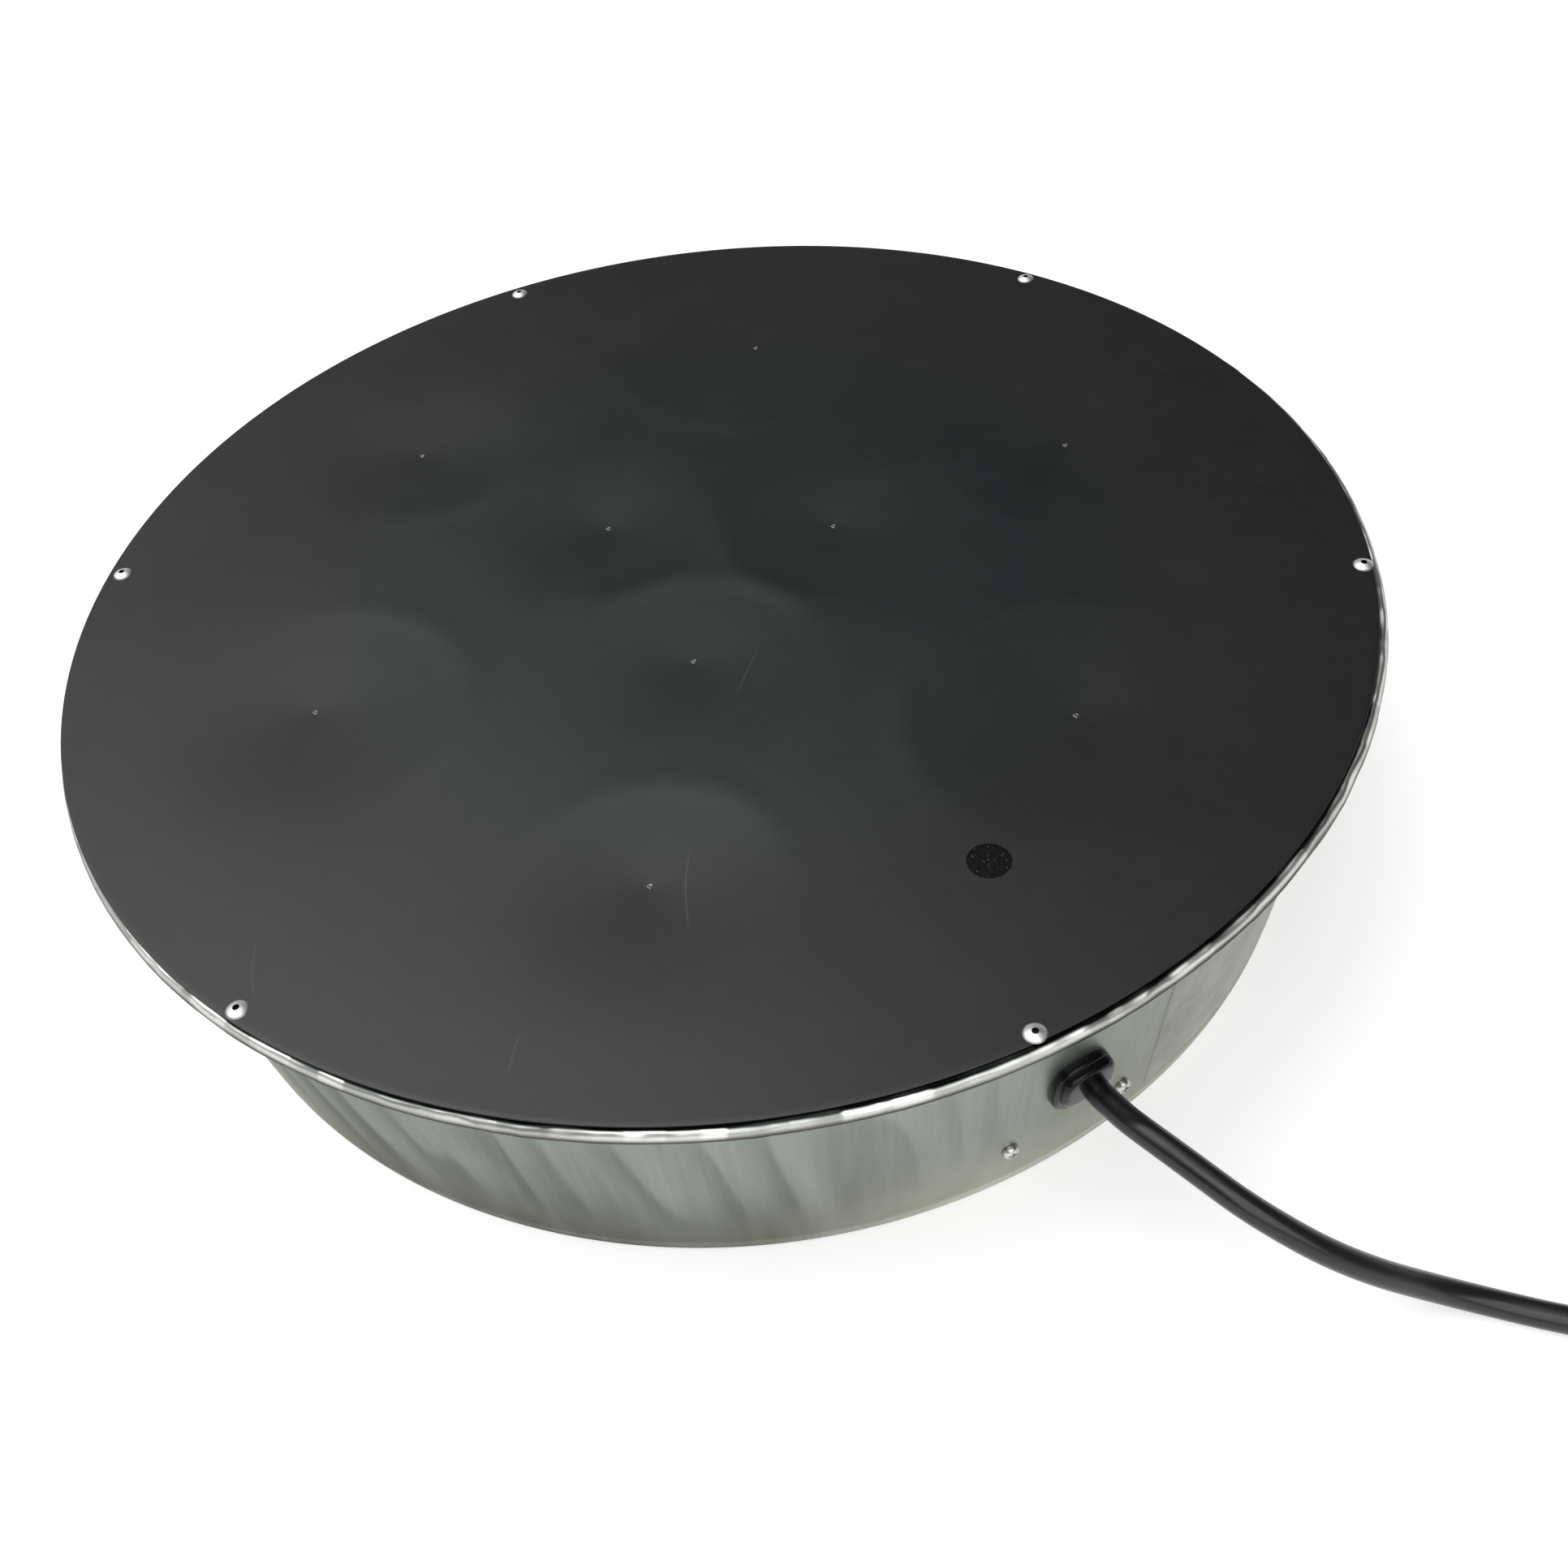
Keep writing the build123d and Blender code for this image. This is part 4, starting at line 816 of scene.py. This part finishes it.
# %% [markdown]
# ## Shared effects
# Handled metal and plastic share a few effects: cloudy mottling, fine grain, hair scratches and dust specks.
# The pan's wall has two more, soft streaks and folds that lean round it. Each is a node group, made once and
# used with other numbers in each finish. All read Object coordinates, so a pattern keeps its real size.

# %% Mottle and grain


def make_group(name, output, build, **sizes):
    """Node group with a Vector input and its sizes as float inputs. build is given these sockets, and what it
    returns is the group's one output."""
    tree = bpy.data.node_groups.new(name, "ShaderNodeTree")
    tree.interface.new_socket("Vector", in_out="INPUT", socket_type="NodeSocketVector")
    for label, value in sizes.items():
        socket = tree.interface.new_socket(label, in_out="INPUT", socket_type="NodeSocketFloat")
        socket.default_value = value
    tree.interface.new_socket(output, in_out="OUTPUT", socket_type="NodeSocketFloat")
    given = tree.nodes.new("NodeGroupInput").outputs
    made = build(*[given[label] for label in ("Vector", *sizes)])
    fill(tree.nodes.new("NodeGroupOutput"), {output: made})
    print("group", name, "with", len(tree.nodes), "nodes")
    return tree


def mottle_mask(where, scale, contrast):
    """Cloudy patches, 0 to 1: two sizes of noise, added, with their contrast stretched."""
    broad = noise(where, scale, 3.0)
    fine = noise(where, scaled(scale, 4.3), 3.0)
    both = scaled(fine, 0.4, scaled(broad, 0.6))
    return scaled(times(minus(both, 0.5), contrast), 2.2, 0.5, clamp=True)


def grain_height(where, scale):
    """Fine grain as a height, 0 to 1: crisp noise with a little of a coarser one."""
    coarse = noise(where, scaled(scale, 0.27), 1.0)
    return scaled(noise(where, scale, 2.0), 0.6, scaled(coarse, 0.4))


mottle = make_group("mottle", "Mask", mottle_mask, Scale=40.0, Contrast=1.0)
grain = make_group("grain", "Height", grain_height, Scale=900.0)

# %% Scratches and specks
hair_stretch = (1.0, 0.08, 1.0)
hair_width = 0.006
hair_patches = 26.0


def scratch_mask(where, scale, turn, amount):
    """Hair scratches, 0 to 1: the thin zero lines of a stretched noise, kept only where a second noise is
    high, so that they stay short and few."""
    turned = turned_about(where, turn)
    lines = noise(vectors("MULTIPLY", turned, hair_stretch), scale, 1.0)
    thin = fade(sums("ABSOLUTE", minus(lines, 0.5)), 0.0, hair_width, 1.0, 0.0)
    limit = scaled(amount, -0.3, 0.78)
    return times(thin, fade(minus(noise(turned, hair_patches, 2.0), limit), 0.0, 0.08))


def speck_mask(where, scale, size, share):
    """Dust specks, 0 to 1: the hearts of a few cells of a Voronoi pattern, chosen by each cell's colour."""
    cells = place("TexVoronoi", {"Vector": where, "Scale": scale}).outputs
    few = sums("LESS_THAN", red(cells["Color"]), share)
    return times(fade(cells["Distance"], scaled(size, 0.5), size, 1.0, 0.0), few)


scratches = make_group("hair_scratches", "Mask", scratch_mask, Scale=60.0, Turn=0.6, Amount=0.5)
specks = make_group("dust_specks", "Mask", speck_mask, Scale=120.0, Size=0.12, Share=0.1)

# %% Streaks and folds of the wall
streak_ring = (0.2, 0.2, 0.2)
fold_stretch = (1.0, 1.0, 0.12)
fold_drift = 30.0


def streak_mask(where, scale, lean, stretch):
    """Soft streaks down a round wall, 0 to 1: noise that is stretched in height, on a ring whose points are
    turned about the axis in step with their height, so that the streaks lean and have no seam."""
    height = split(where)["Z"]
    ring = vectors("NORMALIZE", flattened(turned_about(where, times(height, lean))))
    rise = place("CombineXYZ", {"Z": times(height, stretch)}).outputs[0]
    return fade(noise(vectors("MULTIPLY_ADD", ring, streak_ring, rise), scale, 1.5), 0.3, 0.7)


def fold_mask(where, count, lean, uneven):
    """Leaning folds round a wall, 0 to 1, used for their painted shade: a sawtooth of the turn about the
    axis, shifted in step with the height and by a slow noise, so that the folds are uneven. Each darkens
    slowly and ends at once."""
    apart = split(where)
    leaned = scaled(apart["Z"], lean, sums("ARCTAN2", apart["Y"], apart["X"]))
    counted = times(leaned, scaled(count, 1 / FULL_TURN))
    slow = noise(vectors("MULTIPLY", where, fold_stretch), fold_drift, 1.0)
    saw = sums("FRACT", scaled(slow, uneven, counted))
    return times(fade(saw, 0.15, 0.9), fade(saw, 0.84, 1.0, 1.0, 0.0))


streaks = make_group("wall_streaks", "Mask", streak_mask, Scale=70.0, Lean=0.5, Stretch=0.1)
folds = make_group("wall_folds", "Mask", fold_mask, Count=60.0, Lean=0.9, Uneven=3.0)

# %% [markdown]
# ## Galvanised steel
# The pan's zinc skin is greenish grey and dull on the wall. Folds lean to the right on their way down, most
# of them on the left of the front. Their darkening and the wall's dark streaks are painted reflections of
# its ripples, and on that side the wall is also darker and browner towards the bottom. Towards the right the
# skin is lighter and creamier. Rolling has polished the bead in short flats, with painted shade under its
# crest, and painted shade lies in the groove between it and the plate. One metallic shader does it all:
# masks choose between a few greys by radius, height and side.

# %% Zinc of the wall
# The side where the folds and dark streaks lie. They are painted reflections of the wall's ripples.
fold_side = -135
bright_side = -60
brown_heights = (1 * MM, 44 * MM)
fold_start = (6 * MM, 32 * MM)
fold_end = (60 * MM, 84 * MM)
streak_heights = (20 * MM, 80 * MM)
# The first grey is painted shade for the folds and dark streaks, and also the tone of the fine streaks.
zinc_streaks_and_painted_shade = (0.09, 0.09, 0.082)
zinc_green = (0.375, 0.412, 0.378)
# The lighter grey for the right of the wall.
zinc_pale = (0.5, 0.53, 0.47)
zinc_cloud = (0.38, 0.41, 0.39)
zinc_cream = (0.6, 0.585, 0.5)
# A darker brown for the bottom of the wall on the side of the folds.
low_brown = (0.125, 0.113, 0.1)


def effect(group, where, **sizes):
    """The mask or height of a shared effect, with its own sizes."""
    return place("Group", {"Vector": where, **sizes}, node_tree=group).outputs[0]


def blend_colours(mask, first, second):
    """Colour that goes from first to second as the mask goes from 0 to 1."""
    return place("Mix", {0: mask, 6: first, 7: second}, data_type="RGBA").outputs[2]


def facing(ring, side):
    """How squarely a point of the wall faces a side in degrees: the cosine of the turn between the two."""
    side = math.radians(side)
    return vectors("DOT_PRODUCT", ring, (math.cos(side), math.sin(side), 0.0))


def wall_colour(where, height, ring, cloud, broad, thin):
    """Zinc of the wall: on the side of the folds, the folds and dark streaks darken it as painted reflections
    of its ripples, and it is darker and browner towards the bottom. Elsewhere it is lighter, with cream
    patches low down."""
    left = facing(ring, fold_side)
    on_fold_side = fade(left, 0.7, 0.97, 0.15, 1.0)
    low = fade(height, *brown_heights, 1.0, 0.0)
    # Painted shade: the folds and dark streaks stand for the reflections of the wall's ripples.
    span = times(fade(height, *fold_start), fade(height, *fold_end, 1.0, 0.2))
    folded = times(effect(folds, where, Lean=streak_lean), span, on_fold_side)
    dark = times(minus(1.0, broad), fade(height, *streak_heights, 0.72, 0.25), on_fold_side)
    lit = minus(0.97, scaled(folded, 0.34, scaled(dark, 0.6)))
    streaked = scaled(minus(thin, 0.5), 0.1, lit)
    right = fade(facing(ring, bright_side), 0.8, 0.97)
    wall = blend_colours(streaked, zinc_streaks_and_painted_shade, blend_colours(right, zinc_green, zinc_pale))
    # Darker and browner towards the bottom on the side of the folds.
    wall = blend_colours(times(low, scaled(streaked, -0.25, 0.9), on_fold_side), wall, low_brown)
    wall = blend_colours(scaled(cloud, 0.16), wall, zinc_cloud)
    creamy = times(low, scaled(cloud, 0.4, 0.4), fade(left, 0.84, 0.98, 1.0, 0.0))
    return blend_colours(creamy, wall, zinc_cream)


print("fold side at", fold_side, "degrees, bright side at", bright_side)

# %% Zinc of the bead
# Painted shade in the groove along the plate spreads farthest on the side towards the camera.
groove_shade_side = -122
groove_shade_spread = 0.95 * MM
groove_shade_wander = 0.45 * MM
groove_span = (2.9 * MM, 2.2 * MM)
crest_heights = (rim_top - 2.6 * MM, rim_top - 0.6 * MM)
bead_worn = (0.45, 0.47, 0.44)
bead_polish = (0.92, 0.92, 0.88)
# Painted shade for the bead's underside, then for the groove beside the plate.
bead_underside_shade = (0.1, 0.096, 0.082)
groove_painted_shade = (0.02, 0.024, 0.022)


def soft_cells(where, scale, smoothness):
    """Outputs of a Voronoi texture whose cells run into each other."""
    cells = {"Vector": where, "Scale": scale, "Smoothness": smoothness}
    return place("TexVoronoi", cells, feature="SMOOTH_F1").outputs


def bead_colour(height, radius, ring):
    """Zinc of the bead: polished flats on its crest, painted shade under it, and painted shade in the groove
    along the plate, which spreads farther on the side towards the camera."""
    flats = red(soft_cells(ring, 22.0, 0.2)["Color"])
    polished = blend_colours(flats, bead_worn, bead_polish)
    # Painted shade under the crest.
    rolled = blend_colours(fade(height, *crest_heights), bead_underside_shade, polished)
    # Painted shade in the groove, wider on the side towards the camera.
    inner = scaled(fade(facing(ring, groove_shade_side), 0.35, 1.0), -groove_shade_spread, radius)
    inner = scaled(minus(flats, 0.5), groove_shade_wander, inner)
    groove = fade(inner, *in_from_rim(groove_span), 1.0, 0.0)
    return blend_colours(groove, rolled, groove_painted_shade)


print("groove shade side at", groove_shade_side, "degrees")

# %% Finish of the pan
bead_zone = (6.5 * MM, 3.5 * MM)
scuff_depth = 0.05 * MM
blow_depth = 1.7 * MM
zinc_tint = (0.45, 0.45, 0.43)


def make_finish(name, build, *given):
    """Material whose Principled shader takes the inputs that build returns for its Object coordinates."""
    material = bpy.data.materials.new(name)
    material.use_nodes = True
    tree = material.node_tree
    fill(tree.nodes["Principled BSDF"], build(new_node(tree, "TexCoord").outputs["Object"], *given))
    print("finish", name, "with", len(tree.nodes), "nodes")
    return material


def from_axis(where):
    """Distance of a point from the upright axis."""
    return vectors("LENGTH", flattened(where))


def bump(height, depth, over=None):
    """Normal bent by a height of 0 to 1 that stands for a depth in metres, over another normal."""
    inputs = {"Height": height, "Distance": depth}
    if over is not None:
        inputs["Normal"] = over
    return place("Bump", inputs).outputs["Normal"]


def galvanised_steel(where):
    """Dull zinc on the wall with painted reflections of its ripples, and polished zinc on the bead with
    painted shade under it and in its groove.
    """
    height = split(where)["Z"]
    radius = from_axis(where)
    ring = vectors("NORMALIZE", flattened(where))
    bead = fade(radius, *in_from_rim(bead_zone))
    cloud = effect(mottle, where, Scale=45.0, Contrast=0.8)
    broad = effect(streaks, where, Scale=52.0, Lean=streak_lean, Stretch=0.1)
    thin = effect(streaks, where, Scale=520.0, Lean=0.0, Stretch=0.04)
    wall = wall_colour(where, height, ring, cloud, broad, thin)
    dull = scaled(cloud, 0.1, scaled(broad, -0.08, 0.4))
    shine = scaled(cloud, 0.1, 0.28)
    brushed = bump(scaled(thin, 0.12, effect(grain, where, Scale=420.0)), scuff_depth)
    blows = soft_cells(where, 90.0, 0.55)["Distance"]
    return {
        "Base Color": blend_colours(bead, wall, bead_colour(height, radius, ring)),
        "Roughness": scaled(bead, minus(shine, dull), dull),
        "Metallic": 1.0,
        "Specular Tint": zinc_tint,
        "Normal": bump(times(blows, bead), blow_depth, brushed),
    }


finishes = {"galvanised": make_finish("galvanised_steel", galvanised_steel)}

# %% [markdown]
# ## Black coating
# The plate's coating is satin black paint over steel. It is never one black: its middle, which is heated, has
# turned a little greenish, and there is a faint cloudiness, a fine orange peel, dust, and a few pale
# scratches where a drinker has been dragged over it.

# %% Finish of the plate
quilt_relief = 1.4
peel_depth = 0.012 * MM
warm_radii = (70 * MM, 180 * MM)
warm_blacks = ((0.0064, 0.0102, 0.0100), (0.0104, 0.0134, 0.0134))
border_blacks = ((0.0090, 0.0086, 0.0096), (0.0130, 0.0122, 0.0138))
scratch_grey = (0.35, 0.34, 0.33)
dust_grey = (0.45, 0.45, 0.44)
scratch_width = (0.05 * MM, 0.45 * MM)
# A scratch: its middle in metres, its turn in degrees, its length, its bow and how strongly it shows.
plate_scratches = [
    ((-0.0155, -0.0495), -41.8, 0.024, 0.0, 0.35),
    ((-0.0716, -0.1134), -61.4, 0.032, -6.0, 0.4),
    ((-0.1798, -0.0717), -70.9, 0.025, -12.7, 0.25),
    ((-0.1327, -0.1355), -51.0, 0.014, 0.0, 0.35),
]


def scratch_at(where, middle, turn, length, bow):
    """One long pale scratch, 0 to 1: the distance from a slightly bowed line through a middle point, in a
    frame turned by an angle, faded out at both ends."""
    apart = split(turned_about(vectors("SUBTRACT", where, (*middle, 0.0)), math.radians(turn)))
    along = apart["X"]
    off = sums("ABSOLUTE", minus(apart["Y"], times(along, along, bow)))
    ends = fade(sums("ABSOLUTE", along), 0.25 * length, 0.5 * length, 1.0, 0.0)
    return times(fade(off, *scratch_width, 1.0, 0.0), ends)


def black_coating(where):
    """Satin black paint with clouds, orange peel, dust and a few scratches."""
    cloud = effect(mottle, where, Scale=14.0, Contrast=1.0)
    dust = effect(specks, where, Scale=75.0, Size=0.04, Share=0.05)
    peel = effect(grain, where, Scale=1100.0)
    marks = scaled(effect(scratches, where, Scale=90.0, Turn=0.4, Amount=0.35), 0.25)
    for *line, share in plate_scratches:
        marks = scaled(scratch_at(where, *line), share, marks)
    clouded = scaled(minus(effect(grain, where, Scale=700.0), 0.5), 2.4, cloud)
    warmed = blend_colours(clouded, *warm_blacks)
    border = blend_colours(clouded, *border_blacks)
    colour = blend_colours(fade(from_axis(where), *warm_radii), warmed, border)
    colour = blend_colours(scaled(marks, 0.17, clamp=True), colour, scratch_grey)
    quilted = new_node(where.id_data, "Attribute", attribute_name="quilt").outputs["Fac"]
    return {
        "Base Color": blend_colours(scaled(dust, 0.5), colour, dust_grey),
        "Roughness": scaled(cloud, 0.06, scaled(peel, 0.06, 0.25)),
        "Normal": bump(peel, peel_depth, bump(quilted, quilt_relief)),
    }


finishes["black_coat"] = make_finish("black_coating", black_coating)

# %% [markdown]
# ## Rivet heads
# Six blind rivets hold the plate. Each is a domed aluminium head with a bore, where its stem was pulled and
# broke off, and its colour is darkened in the bore and round the foot as painted shade. Six sets of nodes
# could paint six heads, but they stand evenly on one circle, so the turn is folded into one sixth, where one
# set serves them all.

# %% Aluminium with painted shade in the bore and at the foot
rivet_count = 6
rivet_turn = math.radians(23.5)
rivet_circle = plate_radius - 3.6 * MM
rivet_bore = 1.75 * MM
rivet_head = 6.3 * MM
rivet_grain = 0.02 * MM
rivet_greys = ((0.74, 0.74, 0.73), (0.9, 0.9, 0.89))
# Painted shade at the foot of each head and in its bore.
foot_painted_shade = (0.2, 0.2, 0.19)
bore_painted_shade = (0.03, 0.03, 0.028)


def rivet_aluminium(where):
    """Bright aluminium that is darkened in the bore and greyed at the foot of each head as painted shade, by
    the distance from the rivet's axis: across it, the radius times the folded turn, and along it, the radius
    less the circle's."""
    apart = split(where)
    half_step = math.pi / rivet_count
    turn = minus(sums("ARCTAN2", apart["Y"], apart["X"]), rivet_turn)
    turn = sums("WRAP", turn, half_step, -half_step)
    radius = from_axis(where)
    off_axis = {"X": times(radius, turn), "Y": minus(radius, rivet_circle)}
    distance = vectors("LENGTH", place("CombineXYZ", off_axis).outputs[0])
    bore = fade(distance, 0.5 * rivet_bore, 0.58 * rivet_bore, 1.0, 0.0)
    foot = fade(distance, 0.41 * rivet_head, 0.46 * rivet_head)
    cloud = effect(mottle, where, Scale=260.0, Contrast=1.2)
    colour = blend_colours(scaled(foot, 0.8), blend_colours(cloud, *rivet_greys), foot_painted_shade)
    return {
        "Base Color": blend_colours(bore, colour, bore_painted_shade),
        "Roughness": scaled(cloud, -0.1, 0.5),
        "Metallic": 1.0,
        "Normal": bump(effect(grain, where, Scale=3000.0), rivet_grain),
    }


finishes["rivet_metal"] = make_finish("rivet_aluminium", rivet_aluminium)

# %% [markdown]
# ## Sealing plug
# The hole over the thermostat is filled with black resin that has set with coarse grains. Its lumps could be
# modelled, but they are well under a millimetre, so cells and noise give them as bump, and some grains glint.

# %% Sealant with glints
lump_depth = 0.25 * MM
resin_blacks = ((0.001, 0.001, 0.001), (0.004, 0.004, 0.004))
glint_grey = (0.085, 0.09, 0.09)


def sealing_resin(where):
    """Black filler with coarse grains, some of which glint."""
    cells = place("TexVoronoi", {"Vector": where, "Scale": 1100.0}).outputs["Distance"]
    lumps = effect(grain, where, Scale=1500.0)
    glints = effect(specks, where, Scale=1500.0, Size=0.4, Share=0.09)
    return {
        "Base Color": blend_colours(glints, blend_colours(lumps, *resin_blacks), glint_grey),
        "Roughness": scaled(lumps, 0.2, 0.5),
        "Specular IOR Level": 0.12,
        "Normal": bump(sums("ADD", cells, lumps), lump_depth),
    }


finishes["seal_resin"] = make_finish("sealing_resin", sealing_resin)

# %% [markdown]
# ## Plain metals and plastics
# The other finishes are variations on two kinds. A metal has a mottled colour and roughness, fine grain and
# hair scratches. A plastic has a faintly mottled colour, a moulded grain and dust. A function for each kind
# takes its colours and sizes, so the list of finishes stays short and each one still has its own character.

# %% Metals
metal_grain = 0.02 * MM
# A metal: its name, dark and light colour, roughness, scale of its patches and amount of scratches.
metals = {
    "zinc": ("zinc_plate", (0.48, 0.49, 0.47), (0.72, 0.72, 0.69), 0.3, 220.0, 0.5),
    "foil": ("bright_foil", (0.70, 0.70, 0.71), (0.84, 0.84, 0.85), 0.24, 60.0, 0.8),
    "spring_brass": ("spring_brass", (0.60, 0.44, 0.20), (0.76, 0.60, 0.33), 0.28, 240.0, 0.5),
    "label_film": ("label_foil", (0.25, 0.253, 0.235), (0.32, 0.322, 0.298), 0.42, 70.0, 0.4),
    # The rivet stems are near black as painted shade inside the rivets' bores.
    "rivet_stems": ("stem_steel_painted_shade", (0.02, 0.02, 0.02), (0.06, 0.06, 0.058), 0.45, 400.0, 0.3),
    "weld_marks": ("weld_scale", (0.05, 0.05, 0.048), (0.42, 0.41, 0.39), 0.35, 900.0, 0.5),
}


def plain_metal(where, dark, light, rough, patch, scratch):
    """Metal whose colour goes from dark to light in patches of a scale, with grain and hair scratches."""
    cloud = effect(mottle, where, Scale=patch, Contrast=1.2)
    hairs = effect(scratches, where, Scale=6 * patch, Amount=scratch)
    fine = effect(grain, where, Scale=12 * patch)
    return {
        "Base Color": blend_colours(scaled(hairs, 0.4), blend_colours(cloud, dark, light), light),
        "Roughness": scaled(cloud, -0.1, rough + 0.05),
        "Metallic": 1.0,
        "Normal": bump(scaled(hairs, -0.5, fine), metal_grain),
    }


for slot, (name, *looks) in metals.items():
    finishes[slot] = make_finish(name, plain_metal, *looks)

# %% Plastics, rubber, ceramic and wool
# A plastic: its name, dark and light colour, roughness, scale of its patches, depth of its grain in
# millimetres and how much it mirrors.
plastics = {
    "cable_jacket": ("silicone_jacket", (0.66, 0.63, 0.57), (0.75, 0.72, 0.66), 0.5, 90.0, 0.02, 0.5),
    "glass_wool": ("glass_wool", (0.70, 0.61, 0.33), (0.86, 0.79, 0.52), 0.9, 45.0, 0.8, 0.5),
    "phenolic": ("phenolic", (0.10, 0.055, 0.04), (0.13, 0.08, 0.055), 0.35, 160.0, 0.02, 0.5),
    "ceramic": ("glazed_ceramic", (0.80, 0.79, 0.74), (0.88, 0.87, 0.83), 0.18, 120.0, 0.01, 0.5),
    "lead_black": ("black_lead", (0.022, 0.022, 0.022), (0.034, 0.034, 0.034), 0.42, 150.0, 0.02, 0.5),
    "lead_white": ("white_lead", (0.76, 0.76, 0.74), (0.86, 0.86, 0.84), 0.42, 150.0, 0.02, 0.5),
    "lead_green": ("green_lead", (0.04, 0.30, 0.10), (0.06, 0.37, 0.13), 0.42, 150.0, 0.02, 0.5),
    "black_nylon": ("black_nylon", (0.002, 0.002, 0.003), (0.004, 0.004, 0.005), 0.2, 110.0, 0.01, 0.24),
    "cord_jacket": ("cord_jacket", (0.008, 0.008, 0.010), (0.013, 0.013, 0.015), 0.26, 70.0, 0.02, 0.5),
}


def plain_plastic(where, dark, light, rough, patch, depth, mirror):
    """Moulded plastic or rubber: a mottled colour, a grain of a depth in millimetres, and a little dust. It
    mirrors as much as its specular level says."""
    cloud = effect(mottle, where, Scale=patch, Contrast=1.0)
    dust = effect(specks, where, Scale=400.0, Size=0.1, Share=0.03)
    fine = effect(grain, where, Scale=14 * patch)
    pale = tuple(min(1.0, 2.5 * channel + 0.05) for channel in light)
    return {
        "Base Color": blend_colours(scaled(dust, 0.25), blend_colours(cloud, dark, light), pale),
        "Roughness": scaled(fine, 0.1, rough - 0.05),
        "Specular IOR Level": mirror,
        "Normal": bump(fine, depth * MM),
    }


for slot, (name, *looks) in plastics.items():
    finishes[slot] = make_finish(name, plain_plastic, *looks)

# %% Finish on every piece


def dress(piece, material):
    """Gives a piece one material in place of those it came with."""
    piece.data.materials.clear()
    piece.data.materials.append(material)


for subpart in frame["record"]["subparts"]:
    dress(nodes[subpart["node"]], finishes[subpart["material_slot"]])
for piece in (mains_cord, cord_strap, pan_shell, plate_sheet, strain_relief, label_film, snap_disc):
    dress(piece, finishes[piece["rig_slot"]])
dress(nodes["rivet_stems"], finishes["rivet_stems"])
dress(weld_marks, finishes["weld_marks"])
print("finishes", len(finishes))

# %% [markdown]
# ## Floor and light
# A plain pale floor and one large soft lamp in front. A satin black plate shows whatever it mirrors, so the
# sky is dim except for a soft bright patch high on the left, which gives the plate its grey sheen there. Near
# the horizon the sky is as pale as the floor, so the two meet without a line. The floor is lifted a little by
# emission that only camera, glossy and transmission rays see, so that it stays white and keeps its shadow.

# %% Floor
floor_half = 40.0
floor_lift = 0.52
floor_greys = ((0.60, 0.60, 0.60), (0.63, 0.63, 0.63))
white = (1.0, 1.0, 1.0)


def pale_floor(where):
    """Pale, faintly clouded floor that shines a little to camera, glossy and transmission rays."""
    ray = new_node(where.id_data, "LightPath").outputs
    seen = sums("ADD", ray["Is Camera Ray"], ray["Is Glossy Ray"])
    seen = sums("ADD", seen, ray["Is Transmission Ray"], clamp=True)
    return {
        "Base Color": blend_colours(effect(mottle, where, Scale=3.0, Contrast=0.6), *floor_greys),
        "Roughness": 0.9,
        "Emission Color": white,
        "Emission Strength": scaled(seen, floor_lift),
    }


floor_corners = floor_half * np.array([(-1, -1, 0), (1, -1, 0), (1, 1, 0), (-1, 1, 0)])
floor = mesh_piece("floor", floor_corners, [(0, 1, 2, 3)])
dress(floor, make_finish("pale_floor", pale_floor))

# %% Lamp and sky
bpy.context.scene.view_settings.view_transform = "Standard"
lamp_spot = Vector((-0.3, -1.5, 1.4))
lamp_aim = Vector((0, 0, 0.05))
lamp_size = 1.9
lamp_power = 22
patch_middle = Vector((-0.32, 0.29, 0.90)).normalized()
patch_edge = 0.4
patch_fall = 3.4
patch_light = 3.5
sky_dim = 0.04
horizon_band = (0.05, 0.30)

lamp = add_to_scene("key_lamp", bpy.data.lights.new("key_lamp", "AREA"))
lamp.data.size = lamp_size
lamp.data.energy = lamp_power
lamp.location = lamp_spot
lamp.rotation_euler = (lamp_aim - lamp_spot).to_track_quat("-Z", "Y").to_euler()


def sky_strength(where):
    """Strength of the sky in a direction: a dim level plus a bright patch, which is a power of the share by
    which the direction nears the patch's middle, and a pale white at and below the horizon."""
    nearness = vectors("DOT_PRODUCT", where, patch_middle)
    share = place("MapRange", {"Value": nearness, "From Min": patch_edge, "From Max": 1.0}).outputs[0]
    level = scaled(sums("POWER", share, patch_fall), patch_light, sky_dim)
    over = fade(split(where)["Z"], *horizon_band)
    return scaled(level, over, scaled(over, -1.0, 1.0))


world = bpy.data.worlds.new("sky")
bpy.context.scene.world = world
world.use_nodes = True
sky_tree = world.node_tree
sky_where = new_node(sky_tree, "TexCoord").outputs["Generated"]
fill(sky_tree.nodes["Background"], {"Color": white, "Strength": sky_strength(sky_where)})
print("lamp", lamp.name, "at", tuple(lamp.location), "sky patch towards", tuple(patch_middle))

# %% Bring the scene up to date
bpy.context.view_layer.update()
